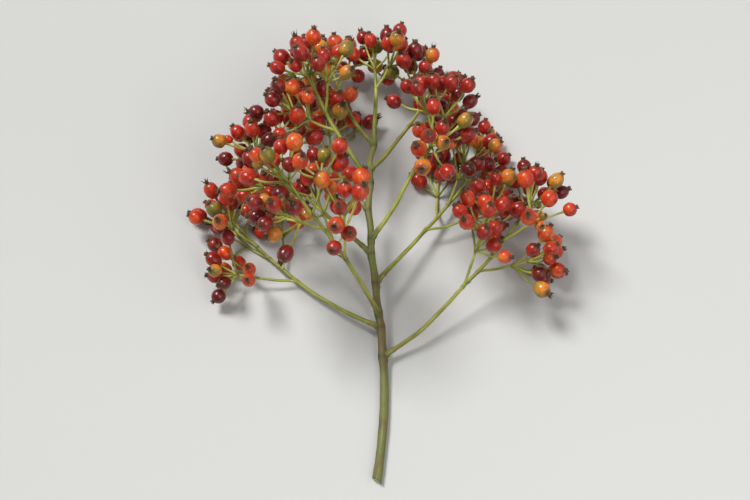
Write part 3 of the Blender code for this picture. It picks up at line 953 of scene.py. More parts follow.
@dataclass
class MainStem:
    """The woody stem, lying on its cut end, with a collar for each side spray and its cut face."""

    growth: Growth
    sides: int = 24
    per_step: int = 6
    node: Bell = Bell(0.20, 0.0042)
    node_wear: Bell = Bell(0.8, 0.0016)
    ribs: int = 5
    rib_depth: float = 0.022
    wander: float = 0.030
    wander_waves: Pair = (310.0, 173.0)
    wander_twist: float = 2.1
    wander_start: float = 1.3
    tip: Bell = Bell(0.22, 0.0020)
    scar: Bell = Bell(0.00034, 0.0009)
    scar_drop: float = 0.0034
    scar_curve: float = 0.0010
    scar_facing: Pair = (0.35, 0.8)
    bark_age: float = 0.78
    bark_youth: float = 0.35
    tip_fresh: float = 0.55
    tip_fresh_from: float = 0.55
    collar_sides: int = 14
    collar_steps: int = 12
    collar_girth: float = 1.07
    collar_root: Bell = Bell(0.62, 0.0022)
    collar_ring: Bell = Bell(0.09, 0.0007)
    collar_ring_place: float = 0.90
    collar_ends: Pair = (1.04, 1.06)
    collar_close: float = 0.80
    collar_age: float = 0.35
    collar_fresh: Pair = (0.3, 0.95)
    collar_wear: Bell = Bell(0.45, 0.0007)
    collar_grain: Pair = (0.5, 0.03)
    shear_reach: float = 0.012
    wood_share: float = 0.90
    wood_proud: float = 0.00008
    wood_rings: int = 12
    wood_middle: float = 0.06
    plug_depth: float = 0.0008
    plug_middle: float = 0.3
    rays: int = 17
    ray_height: float = 0.00003
    year_rings: int = 11
    year_ring_height: float = 0.00005

    def __post_init__(self) -> None:
        """Lays out the stem's path and how far along it each side spray leaves."""
        numbers = self.growth.stalks[0].points
        points, radii = np.array(self.growth.places)[numbers], np.array(self.growth.radii)[numbers]
        ends = unit(np.diff(points, axis=0)[[0, -1]])
        self.path = bent_paths(points[None], ends[:1], ends[1:], self.per_step)
        self.lengths = distances(self.path)
        self.radii = np.interp(np.arange(self.path.shape[1]) / self.per_step, range(len(radii)), radii)
        bases = [numbers.index(base) * self.per_step for base, _ in self.growth.collars]
        self.nodes = self.lengths[0, bases]

    def cut(self, places: Array) -> Array:
        """How far the slanting cut lies beyond the stem's first point at each place, along Y."""
        slant, width = self.growth.habit.cut_slant, 2 * self.growth.habit.stem_radius
        return slant / 2 - slant * (places[..., 0] - self.path[0, 0, 0]) / width

    def bark_rings(self) -> Array:
        """Works out the bark.

        The radius is the stem's own, times 1 plus a bell at each node, shallow ribs cos(5a) and a slow
        wander sin(310 y + 2.1 sin a + 1.3) cos(173 y + a), less a bell at the tip. A leaf scar is a
        crescent below each collar. The first rings shear onto the cut.

        Returns:
            The stem by rings by sides by XYZ.
        """
        angles = turns(self.sides)
        lengths = self.lengths[0]
        swell = self.node.height * self.node.near(lengths, self.nodes)
        ribs = self.rib_depth * np.cos(self.ribs * angles)
        twist = self.wander_twist * np.sin(angles)
        wander = self.wander * np.sin(lengths[:, None] * self.wander_waves[0] + twist + self.wander_start)
        wander = wander * np.cos(lengths[:, None] * self.wander_waves[1] + angles)
        tip = self.tip.at(lengths[-1] - lengths)
        radii = self.radii[:, None] * (1 + swell[:, None] + ribs + wander - tip[:, None])
        radii = radii + self.scar.height * self.scars()
        rings = swept(self.path, radii[None], radii[None], self.sides)
        fade = np.exp(-((self.lengths / self.shear_reach) ** 2))[..., None]
        rings[..., 1] += self.cut(rings) * fade
        rings[..., 2] = np.maximum(rings[..., 2], 0.0)
        return rings

    def scars(self) -> Array:
        """Works out the leaf scars, each a crescent of the bark below a collar.

        Returns:
            How much each point of the bark belongs to a scar, as rings by sides.
        """
        first, second = across(self.path)
        angles = turns(self.sides)[:, None]
        outward = np.cos(angles) * first[0][:, None] + np.sin(angles) * second[0][:, None]
        scar = np.zeros(outward.shape[:2])
        for node, (base, foot) in zip(self.nodes, self.growth.collars):
            facing = outward @ unit(self.growth.places[foot] - self.growth.places[base])
            droop = self.scar_drop - self.scar_curve * (1 - facing)
            along = np.exp(-(((self.lengths[0][:, None] - node + droop) / self.scar.reach) ** 2))
            scar = np.maximum(scar, along * smoothstep(*self.scar_facing, facing))
        return scar

    def add_collars(self, shells: Shells) -> None:
        """Adds the collars, green towards the spray and worn along the ring near their end.

        The radius is the side spray's, times 1 plus a bell where it meets the bark and a thin ring near
        its end, as bud scales leave. The last rings turn in, down to the spray's own bark.

        Args:
            shells: The bark's shells.
        """
        growth = self.growth
        bases, feet = np.array(growth.collars).T
        starts, ends = np.array(growth.places)[[bases, feet]][:, :, None]
        along = np.linspace(0, self.collar_ends[0], self.collar_steps - 1)
        paths = starts + (ends - starts) * np.append(along, self.collar_ends[1])[:, None]
        lengths = distances(paths)
        surface = np.array(growth.radii)[bases, None]
        root = self.collar_root.at(np.maximum(lengths - surface, 0))
        beyond = lengths - self.collar_ring_place * lengths[:, -1:]
        radii = growth.habit.axis.radii[0] * (self.collar_girth + root + self.collar_ring.at(beyond))
        radii[:, -1] *= self.collar_close
        rings = swept(paths, radii, radii, self.collar_sides)
        start, step = self.collar_grain
        shifts = start + step * np.arange(len(bases))[:, None]
        around = grain(lengths + shifts, self.collar_sides, growth.habit.stem_radius)
        wear = self.collar_wear.at(beyond)[..., None]
        fresh = smoothstep(*self.collar_fresh, lengths / lengths[:, -1:])[..., None]
        shells.add(rings, age=self.collar_age, young=fresh, node=wear, grain=around)

    def bark(self) -> Shells:
        """Makes the stem's bark with its collars, worn at the scars and nodes, greener to the tip.

        Returns:
            The shells.
        """
        shells = Shells()
        nodes = self.node_wear.height * self.node_wear.near(self.lengths[0], self.nodes)
        wear = np.maximum(self.scars(), nodes[:, None])
        share = (self.lengths / self.lengths[0, -1])[..., None]
        around = grain(self.lengths, self.sides, self.growth.habit.stem_radius)
        fresh = self.tip_fresh * smoothstep(self.tip_fresh_from, 1.0, share)
        age = self.bark_age - self.bark_youth * share
        shells.add(self.bark_rings(), age=age, young=fresh, node=wear[None], grain=around)
        self.add_collars(shells)
        return shells

    def cut_face(self) -> Shells:
        """Makes the cut wood: a thin plug in the cut, whose face stands a little proud of it.

        On the face the rays stand as sin(17 a), and the rings of growth as sin(22 pi r^2).

        Returns:
            The shells.
        """
        shares = np.linspace(1, self.wood_middle, self.wood_rings)
        shares = np.concatenate([[self.plug_middle, 1.0], shares])
        depths = np.array([-1.0, -1.0] + [0.0] * self.wood_rings) * self.plug_depth
        angles = turns(self.sides)
        relief = self.ray_height * np.sin(self.rays * angles)
        rings = np.sin(self.year_rings * shares[:, None] ** 2 * 2 * math.pi)
        relief = relief + self.year_ring_height * rings
        proud = (depths + self.wood_proud)[:, None] + np.where(depths[:, None] < 0, 0, relief)
        rim = self.bark_rings()[0, 0]
        centre = rim.mean(axis=0)
        plane = centre + (rim - centre) * self.wood_share * shares[:, None, None]
        outward = -unit(np.array([self.growth.habit.cut_slant, 2 * self.growth.habit.stem_radius, 0.0]))
        rings = plane + outward * proud[..., None]
        flat = shares[:, None, None] * np.stack([np.cos(angles), np.sin(angles), 0 * angles], axis=-1)
        shells = Shells()
        shells.add(rings[None, :, ::-1], share=shares[None, :, None], grain=flat[None, :, ::-1])
        return shells


@dataclass(frozen=True)
class Cluster:
    """The hips of one spray as whole arrays, one row for each hip."""

    forks: Array
    headings: Array
    halfways: Array
    middles: Array
    widths: Array
    heights: Array
    ripeness: Array

    @property
    def axes(self) -> Array:
        """The direction from each hip's base to its crown."""
        return unit(self.middles - self.halfways)

    @property
    def bases(self) -> Array:
        """The base of each hip, where its stalk ends."""
        return self.middles - self.axes * self.heights[:, None] / 2

    def frames(self, along: Array) -> tuple[Array, Array, Array]:
        """Places at heights along each hip's axis, and two directions across it, for rings and sides."""
        ways = (way[:, None, None] for way in square_to(self.axes, self.axes))
        return (self.bases[:, None] + self.axes[:, None] * along[..., None])[:, :, None], *ways


@dataclass(frozen=True)
class Ripening:
    """How ripe hips are, from 0 olive to 1 crimson: each fork's own draw, and in it each hip's."""

    mean: float = 0.70
    fork_spread: float = 0.13
    hip_spread: float = 0.10
    late_chance: float = 0.09
    small: float = 0.007
    small_late_chance: float = 0.75
    late: Pair = (0.02, 0.42)


@dataclass(frozen=True)
class Flesh:
    """The flesh of a hip. Its sizes are shares of the hip's own, and its arcs are shares of pi."""

    sides: int = 12
    rings: int = 9
    height: float = 0.875
    roundness: float = 0.84
    arcs: Pair = (0.05, 0.955)
    fuller: Pair = (-0.07, 0.06)
    shoulder: Pair = (0.0, 0.16)
    shoulder_arcs: Pair = (0.62, 0.86)
    two_lobes: float = 0.018
    three_lobes: float = 0.012


@dataclass(frozen=True)
class Cup:
    """The cup of a crown: up its outside, over a ragged rim and down to its floor.

    The heights are shares of the hip's height, and the radii are shares of its half width. The stubs
    say how much of a sepal's stub each ring has, and the rise how near the rim it is.
    """

    sides: int = 10
    heights: tuple[float, ...] = (0.835, 0.88, 0.92, 0.965, 0.94, 0.89)
    radii: tuple[float, ...] = (0.29, 0.325, 0.31, 0.345, 0.26, 0.13)
    stubs: tuple[float, ...] = (0.0, 0.0, 0.25, 1.0, 0.35, 0.0)
    rise: tuple[float, ...] = (0.0, 0.2, 0.6, 1.0, 0.3, 0.0)
    peaks: Pair = (0.10, 1.0)
    stub_lift: float = 0.075
    stub_spread: float = 0.10
    girths: Pair = (0.88, 1.10)


@dataclass(frozen=True)
class Spike:
    """A dry point in a crown. Its height is a share of the hip's, and the rest of its half width."""

    lengths: Pair
    height: float
    offset: float
    width: float
    thickness: float


@dataclass(frozen=True)
class Spikes:
    """The styles in the middle of every crown, and the long sepals that some crowns have kept."""

    style: Spike = Spike((0.20, 0.36), height=0.90, offset=0.02, width=0.10, thickness=0.09)
    sepal: Spike = Spike((0.30, 0.66), height=0.95, offset=0.30, width=0.13, thickness=0.045)
    kept_chance: float = 0.14
    kept: int = 4
    kept_rolls: float = 0.5
    style_lean: float = 0.25
    sepal_leans: Pair = (-0.35, 0.75)
    samples: int = 4
    sides: int = 5
    blunt: float = 1.04
    taper: float = 0.8


@dataclass(frozen=True)
class Bracts:
    """The dry bracts at the forks, and the stubs of lost fruit stalks among them."""

    per_fork: int = 2
    chance: float = 0.62
    stub_chance: float = 0.30
    leans: Pair = (math.radians(10), math.radians(38))
    turned_back: float = 0.7
    root: float = 0.55
    stub_lengths: Pair = (0.0016, 0.0030)
    lengths: Pair = (0.0022, 0.0046)
    curls: Pair = (0.1, 0.45)
    samples: int = 7
    sides: int = 6
    blunt: float = 1.03
    taper: float = 0.6
    widths: Pair = (0.00055, 0.00100)
    thickness: float = 0.00018
    least_thickness: float = 0.00003
    stub_taper: float = 0.35
    stub_width: float = 0.00042
    stub_thickness: float = 0.00040


@dataclass
class Spray:
    """One spray of the sprig: its green stalks, its hips, their dry crowns, and bracts at its forks."""

    growth: Growth
    number: int
    stalk_sides: int = 10
    per_step: int = 6
    stalk_sink: float = 0.0024
    stalk_girth: float = 0.0012
    stalk_shift: float = 0.11
    stalk_flush: float = 0.35
    stalk_youth: float = 0.45
    fork_follow: float = 0.30
    fork: Bell = Bell(0.24, 0.0013)
    root: Bell = Bell(0.42, 0.0013)
    knob_size: float = 1.34
    knob_rings: int = 6
    knob_length: float = 0.0030
    knob_drop: float = 0.0003
    knob_arcs: Pair = (0.08, 0.92)
    knob_roundness: float = 0.7
    knob_girth: float = 0.001
    knob_age: float = 0.22
    knob_wear: float = 0.85
    knob_flush: float = 0.2
    pedicel_sides: int = 7
    pedicel_per_step: int = 4
    pedicel_fullness: float = 1.10
    pedicel_slimness: Pair = (0.7, 1.1)
    pedicel_sink: float = 0.10
    pedicel_neck: Bell = Bell(0.62, 0.0010)
    pedicel_girth: float = 0.0009
    pedicel_shift: float = 0.07
    pedicel_age: float = 0.6
    pedicel_flush: float = 0.3
    ripe_flush: float = 0.9
    unripe_flush: float = 0.25
    flush_from: float = 0.45
    ripening: Ripening = Ripening()
    flesh: Flesh = Flesh()
    cup: Cup = Cup()
    spikes: Spikes = Spikes()
    bracts: Bracts = Bracts()

    def __post_init__(self) -> None:
        """Starts the spray's own seeded draws, and gathers its hips."""
        growth = self.growth
        self.random = np.random.default_rng(FIRST_SPRAY_SEED + self.number)
        self.stalks = [stalk for stalk in growth.stalks if stalk.spray == self.number]
        self.branches = [stalk for stalk in self.stalks if stalk.kind is not StalkKind.PEDICEL]
        self.roots = {stalk.points[0] for stalk in self.stalks}
        self.places, self.radii = np.array(growth.places), np.array(growth.radii)
        self.headings = unit(self.places - self.places[growth.parents])
        self.cluster = self.gather()

    def any_angle(self, *shape: int) -> Array:
        """Draws angles, all round."""
        return self.random.uniform(0, ALL_ROUND, shape)

    def gather(self) -> Cluster:
        """Gathers the spray's hips. Those of one fork ripen together, and a few lag behind.

        Returns:
            The hips.
        """
        growth, ripening, draw = self.growth, self.ripening, self.random
        rows = [fruit for fruit in growth.fruits if fruit.spray == self.number]
        halfways = [growth.parents[fruit.middle] for fruit in rows]
        forks = [growth.parents[halfway] for halfway in halfways]
        ripe = {fork: draw.normal(ripening.mean, ripening.fork_spread) for fork in sorted(set(forks))}
        own = np.array([ripe[fork] for fork in forks]) + draw.normal(0, ripening.hip_spread, len(rows))
        widths = np.array([fruit.width for fruit in rows])
        chances = np.where(widths < ripening.small, ripening.small_late_chance, ripening.late_chance)
        late = draw.random(len(rows)) < chances
        own = np.where(late, draw.uniform(*ripening.late, len(rows)), own)
        return Cluster(
            forks=self.places[forks],
            headings=self.headings[forks],
            halfways=self.places[halfways],
            middles=self.places[[fruit.middle for fruit in rows]],
            widths=widths,
            heights=np.array([fruit.height for fruit in rows]),
            ripeness=np.clip(own, 0.0, 1.0),
        )

    def add_branch(self, shells: Shells, stalk: Stalk, order: int) -> None:
        """Adds the tube of an axis or an arm.

        The radius runs between the points' own radii, times 1 plus a bell at each fork. An axis starts
        inside its collar, and an arm inside its parent, whose direction it leaves by degrees.

        Args:
            shells: The stalks' shells.
            stalk: The axis or arm.
            order: Its place among them, which shifts its grain.
        """
        numbers = stalk.points
        points, radii = self.places[numbers], self.radii[numbers]
        radii[0] = radii[1]
        ends = unit(np.diff(points, axis=0)[[0, -1]])
        if stalk.kind is StalkKind.AXIS:
            points = np.concatenate([points[:1] - ends[:1] * self.stalk_sink, points])
            radii = np.concatenate([radii[:1], radii])
            numbers = [-1] + numbers
        else:
            ends[0] = self.following(ends[0], self.headings[numbers[0]])
        path = bent_paths(points[None], ends[:1], ends[1:], self.per_step)
        lengths = distances(path)
        samples = np.arange(path.shape[1]) / self.per_step
        forks = [place * self.per_step for place, number in enumerate(numbers) if number in self.roots]
        swell = self.fork.near(lengths, lengths[0, forks])
        flare = 0.0 if stalk.kind is StalkKind.AXIS else self.root.at(lengths)
        size = np.interp(samples, range(len(radii)), radii) * (1 + self.fork.height * swell) * (1 + flare)
        rings = swept(lifted(path, size), size, size, self.stalk_sides)
        around = grain(lengths + self.stalk_shift * order, self.stalk_sides, self.stalk_girth)
        flush = self.random.uniform(0, self.stalk_flush)
        age = stalk.kind.value * (1 - self.stalk_youth * lengths / lengths[0, -1])
        shells.add(rings, age=age[..., None], node=swell[..., None], flush=flush, grain=around)

    def following(self, own: Array, heading: Array) -> Array:
        """A stalk's first direction: its own, drawn towards the heading of what it grows from."""
        return unit((1 - self.fork_follow) * own + self.fork_follow * heading)

    def add_pedicels(self, shells: Shells) -> None:
        """Adds the tubes of all fruit stalks.

        The radius tapers from fork to hip, times 1 plus a bell at either end: a foot on the fork, and the
        thickened end that carries the hip. Near ripe hips they are flushed.

        Args:
            shells: The stalks' shells.
        """
        hips, draw = self.cluster, self.random
        count = len(hips.widths)
        root, tip = self.growth.habit.pedicel.radii
        slim = np.clip(hips.widths / self.growth.habit.fruit_width, *self.pedicel_slimness)[:, None] ** 0.5
        ends = hips.bases + hips.axes * self.pedicel_sink * hips.heights[:, None]
        points = np.stack([hips.forks, hips.halfways, ends], axis=1)
        first = self.following(unit(hips.halfways - hips.forks), hips.headings)
        paths = bent_paths(points, first, hips.axes, self.pedicel_per_step)
        lengths = distances(paths)
        share = lengths / lengths[:, -1:]
        sink = self.pedicel_sink * hips.heights[:, None]
        neck = self.pedicel_neck.at(np.maximum(lengths[:, -1:] - sink - lengths, 0))
        size = self.pedicel_fullness * (root + (tip - root) * share) * slim
        size = size * (1 + self.root.at(lengths) + neck)
        rings = swept(lifted(paths, size), size, size, self.pedicel_sides)
        shifts = self.pedicel_shift * np.arange(count)[:, None]
        around = grain(lengths + shifts, self.pedicel_sides, self.pedicel_girth)
        flush = np.clip(hips.ripeness[:, None] * self.ripe_flush - self.unripe_flush, 0, 1)
        flush = flush * smoothstep(self.flush_from, 1.0, share)
        flush = flush + draw.uniform(0, self.pedicel_flush, (count, 1))
        age = np.broadcast_to(self.pedicel_age * draw.random((count, 1)) ** 2, share.shape)
        foot = self.root.near(lengths, np.zeros(1))
        shells.add(rings, age=age[..., None], node=foot[..., None], flush=flush[..., None], grain=around)

    def add_knobs(self, shells: Shells) -> None:
        """Adds a small swelling at the end of each arm and axis, where its fruit stalks part.

        It is the arc sin(a)^0.7 turned round the stalk's direction, over a short length.

        Args:
            shells: The stalks' shells.
        """
        ends = [stalk.points[-1] for stalk in self.branches]
        arcs = np.linspace(*self.knob_arcs, self.knob_rings) * math.pi
        along = self.knob_length / 2 * np.cos(arcs) - self.knob_drop
        paths = self.places[ends, None] - self.headings[ends, None] * along[:, None]
        size = self.radii[ends, None] * self.knob_size * np.sin(arcs) ** self.knob_roundness
        down = np.broadcast_to(arcs * self.knob_girth, size.shape)
        around = grain(down, self.pedicel_sides, self.knob_girth)
        rings = swept(lifted(paths, size), size, size, self.pedicel_sides)
        shells.add(rings, age=self.knob_age, node=self.knob_wear, flush=self.knob_flush, grain=around)

    def make_stalks(self) -> Shells:
        """Makes the spray's axis, arms, fruit stalks and the knobs at their forks.

        Returns:
            The shells.
        """
        shells = Shells()
        for order, stalk in enumerate(self.branches):
            self.add_branch(shells, stalk, order)
        self.add_pedicels(shells)
        self.add_knobs(shells)
        return shells

    def make_hips(self) -> Shells:
        """Makes the flesh of the hips.

        With a from 0 at the base to pi at the crown, the height is (1 - cos a) / 2 of the flesh, and the
        radius is sin(a)^0.84 of the half width. It leans fuller to the base or to the crown with cos a,
        draws in below the crown, and has two and three shallow lobes round. A hip that lies on the
        surface has a small flat spot there.

        Returns:
            The shells.
        """
        hips, flesh, draw = self.cluster, self.flesh, self.random
        count = len(hips.widths)
        arcs = (np.linspace(*flesh.arcs, flesh.rings) * math.pi)[None, :]
        angles = turns(flesh.sides)
        fuller = draw.uniform(*flesh.fuller, (count, 1))
        shoulder = draw.uniform(*flesh.shoulder, (count, 1))
        along = hips.heights[:, None] * flesh.height * (1 - np.cos(arcs)) / 2
        half = hips.widths[:, None] / 2 * np.sin(arcs) ** flesh.roundness * (1 - fuller * np.cos(arcs))
        low, high = (share * math.pi for share in flesh.shoulder_arcs)
        half = half * (1 - shoulder * smoothstep(low, high, arcs))
        lobes = flesh.two_lobes * np.cos(2 * angles + self.any_angle(count, 1, 1))
        lobes = lobes + flesh.three_lobes * np.cos(3 * angles + self.any_angle(count, 1, 1))
        places, first, second = hips.frames(along)
        ring = np.cos(angles)[:, None] * first + np.sin(angles)[:, None] * second
        rings = places + (half[..., None] * (1 + lobes))[..., None] * ring
        rings[..., 2] = np.maximum(rings[..., 2], 0.0)
        blush = 0.5 + 0.5 * np.cos(angles + self.any_angle(count, 1, 1))
        wilt = draw.random((count, 1, 1)) ** 3
        rise = (arcs / math.pi)[..., None]
        shells = Shells()
        shells.add(rings, ripeness=hips.ripeness[:, None, None], rise=rise, blush=blush, wilt=wilt)
        return shells

    def add_cups(self, shells: Shells, dry: Array) -> None:
        """Adds the cup that each crown is.

        Every other side of the rim stands higher, by its own draw, as the stub of a sepal. A crown that
        the hip lies on is pressed flat by the surface.

        Args:
            shells: The crowns' shells.
            dry: How dry each crown is.
        """
        hips, cup, draw = self.cluster, self.cup, self.random
        count = len(hips.widths)
        every_other = np.tile([1.0, 0.0], cup.sides // 2)
        peaks = (every_other * draw.uniform(*cup.peaks, (count, cup.sides)))[:, None, :]
        stubs = np.array(cup.stubs)[:, None]
        places, first, second = hips.frames(hips.heights[:, None] * np.array(cup.heights))
        angles = turns(cup.sides)[:, None] + self.any_angle(count, 1, 1, 1)
        radii = np.array(cup.radii)[:, None] + cup.stub_spread * peaks * stubs
        half = hips.widths[:, None, None] / 2 * radii
        half = half * draw.uniform(*cup.girths, (count, 1, 1))
        rings = places + half[..., None] * (np.cos(angles) * first + np.sin(angles) * second)
        lift = cup.stub_lift * peaks * stubs * hips.heights[:, None, None]
        rings = rings + hips.axes[:, None, None] * lift[..., None]
        rings[..., 2] = np.maximum(rings[..., 2], 0.0)
        shells.add(rings, rise=np.array(cup.rise)[None, :, None], dry=dry[:, None, None])

    def add_spikes(self, shells: Shells, dry: Array) -> None:
        """Adds the styles in the middle of every crown, and the long dry sepals that some have kept.

        Each is a flat tapering tube: its half width falls as (1.04 - t)^0.8, and it bends out with t^2.

        Args:
            shells: The crowns' shells.
            dry: How dry each crown is.
        """
        hips, draw, spikes = self.cluster, self.random, self.spikes
        style, sepal = spikes.style, spikes.sepal
        count = len(hips.widths)
        kept = np.flatnonzero(draw.random(count) < spikes.kept_chance)
        owners = np.concatenate([np.arange(count), np.repeat(kept, spikes.kept)])
        number = len(owners)
        styles = np.arange(number) < count
        rolls = draw.uniform(0, 2 * math.pi, number)
        rolls[count:] = np.tile(turns(spikes.kept), len(kept))
        rolls[count:] += draw.uniform(-spikes.kept_rolls, spikes.kept_rolls, number - count)
        size = hips.widths[owners] / 2
        lengths = (draw.uniform(*spike.lengths, number) for spike in (style, sepal))
        lengths = np.where(styles, *lengths) * size
        axes = hips.axes[owners]
        first, second = square_to(axes, axes)
        out = np.cos(rolls)[:, None] * first + np.sin(rolls)[:, None] * second
        heights = np.where(styles, style.height, sepal.height) * hips.heights[owners]
        start = hips.bases[owners] + axes * heights[:, None]
        start = start + out * (np.where(styles, style.offset, sepal.offset) * size)[:, None]
        share = np.linspace(0, 1, spikes.samples)[None, :, None]
        lean = np.where(styles, spikes.style_lean, draw.uniform(*spikes.sepal_leans, number))
        paths = bending(start, axes, out, lean, lengths, share)
        taper = (spikes.blunt - share[..., 0]) ** spikes.taper
        wide = np.where(styles, style.width, sepal.width)[:, None] * size[:, None] * taper
        thick = np.where(styles, style.thickness, sepal.thickness)[:, None] * size[:, None] * taper
        rings = swept(lifted(paths, wide), wide, thick, spikes.sides)
        shells.add(rings, rise=share, dry=dry[owners][:, None, None])

    def make_crowns(self) -> Shells:
        """Makes the dry crowns of the hips.

        Returns:
            The shells.
        """
        shells = Shells()
        dry = self.random.random(len(self.cluster.widths))
        self.add_cups(shells, dry)
        self.add_spikes(shells, dry)
        return shells

    def make_bracts(self) -> Shells:
        """Makes the dry bracts and the stubs of lost fruit stalks at the forks.

        A bract is a flat tapering tube: its half width falls as (1.03 - t)^0.6 from a broad foot, and it
        bends away with t^2. A stub is a short round one.

        Returns:
            The shells.
        """
        draw, bracts = self.random, self.bracts
        forks = sorted(self.roots - {self.stalks[0].points[0]})
        forks = [fork for fork in forks for _ in range(bracts.per_fork) if draw.random() < bracts.chance]
        count = len(forks)
        leans = draw.uniform(*bracts.leans, count)
        rolls = draw.uniform(0, 2 * math.pi, count)
        stubs = draw.random(count) < bracts.stub_chance
        out = np.array([leaning(*way) for way in zip(self.headings[forks], leans, rolls)])
        away = unit(out - self.headings[forks] * bracts.turned_back)
        starts = self.places[forks] + out * self.radii[forks, None] * bracts.root
        lengths = (draw.uniform(*reach, count) for reach in (bracts.stub_lengths, bracts.lengths))
        lengths = np.where(stubs, *lengths)
        share = np.linspace(0, 1, bracts.samples)[None, :, None]
        paths = bending(starts, out, away, draw.uniform(*bracts.curls, count), lengths, share)
        leaf = (bracts.blunt - share[..., 0]) ** bracts.taper
        blunt = 1 - bracts.stub_taper * share[..., 0]
        wide = draw.uniform(*bracts.widths, (count, 1)) * leaf
        wide = np.where(stubs[:, None], bracts.stub_width * blunt, wide)
        thick = bracts.thickness * leaf + bracts.least_thickness
        thick = np.where(stubs[:, None], bracts.stub_thickness * blunt, thick)
        rings = swept(lifted(paths, wide), wide, thick, bracts.sides)
        shells = Shells()
        shells.add(rings, rise=share, dry=draw.random(count)[:, None, None])
        return shells


def linear(value: int) -> float:
    """The linear value, as shaders take it, of a screen value from 0 to 255."""
    share = value / 255
    return share / 12.92 if share <= 0.04045 else ((share + 0.055) / 1.055) ** 2.4


def srgb(red: int, green: int, blue: int) -> Colour:
    """A colour for shaders from its screen values."""
    return (linear(red), linear(green), linear(blue), 1.0)


class Wiring:
    """Adds nodes to a tree, and joins them by the names of their sockets."""

    def __init__(self, tree: Tree) -> None:
        """Takes the tree to add to."""
        self.tree = tree

    def node(self, kind: str, inputs: dict | None = None, **settings: object) -> Node:
        """Adds a node.

        Args:
            kind: Its type, without the leading ShaderNode.
            inputs: For each input socket, by name or number, a socket to join it to or a plain value.
            settings: Its other settings.

        Returns:
            The node.
        """
        made = self.tree.nodes.new("ShaderNode" + kind)
        for name, value in settings.items():
            setattr(made, name, value)
        for name, value in (inputs or {}).items():
            if isinstance(value, Socket):
                self.tree.links.new(value, made.inputs[name])
            else:
                made.inputs[name].default_value = value
        return made

    def group(self, tree: Tree, inputs: dict) -> Sockets:
        """Places a node group, with its inputs by name, and gives its outputs."""
        return self.node("Group", inputs, node_tree=tree).outputs

    def mask(self, pattern: Tree, place: Socket, **values: float) -> Socket:
        """The mask of a pattern at a place, with its values by name."""
        return self.group(pattern, {"Place": place} | values)["Mask"]

    def place(self) -> Socket:
        """The place of each point on the object."""
        return self.node("TexCoord").outputs["Object"]

    def mark(self, name: str, output: str = "Fac") -> Socket:
        """A mark that the mesh carries."""
        return self.node("Attribute", attribute_name=name).outputs[output]

    def maths(self, operation: str, *numbers: object) -> Socket:
        """The result of a sum on two or three numbers."""
        return self.node("Math", dict(enumerate(numbers)), operation=operation).outputs[0]

    def blend(self, share: object, first: object, second: object) -> Socket:
        """A colour that goes from the first to the second with the share."""
        return self.node("Mix", {0: share, 6: first, 7: second}, data_type="RGBA").outputs[2]

    def laid(self, colour: object, over: object, mask: object, most: float) -> Socket:
        """The colour with another laid over it where the mask is, at most by a share."""
        return self.blend(self.maths("MULTIPLY", mask, most), colour, over)

    def spread(self, value: object, low: float, high: float, to: Pair = (0, 1)) -> Socket:
        """A value between low and high, brought to between two others and held there."""
        inputs = {"Value": value, "From Min": low, "From Max": high, "To Min": to[0], "To Max": to[1]}
        return self.node("MapRange", inputs).outputs["Result"]

    def ramp(self, share: object, stops: tuple[tuple[float, Colour], ...]) -> Socket:
        """Reads a colour off a row of stops.

        Args:
            share: Where along the row, from 0 to 1.
            stops: The place and the colour of each stop.

        Returns:
            The colour's socket.
        """
        made = self.node("ValToRGB", {"Fac": share})
        for number, (place, colour) in enumerate(stops):
            stop = made.color_ramp.elements[number] if number < 2 else made.color_ramp.elements.new(place)
            stop.position = place
            stop.color = colour
        return made.outputs["Color"]

    def bump(self, height: object, strength: float, distance: float, **normal: Socket) -> Socket:
        """The surface's normal, or the one that is given as Normal, raised by a height."""
        inputs = {"Height": height, "Strength": strength, "Distance": distance}
        return self.node("Bump", inputs | normal).outputs["Normal"]


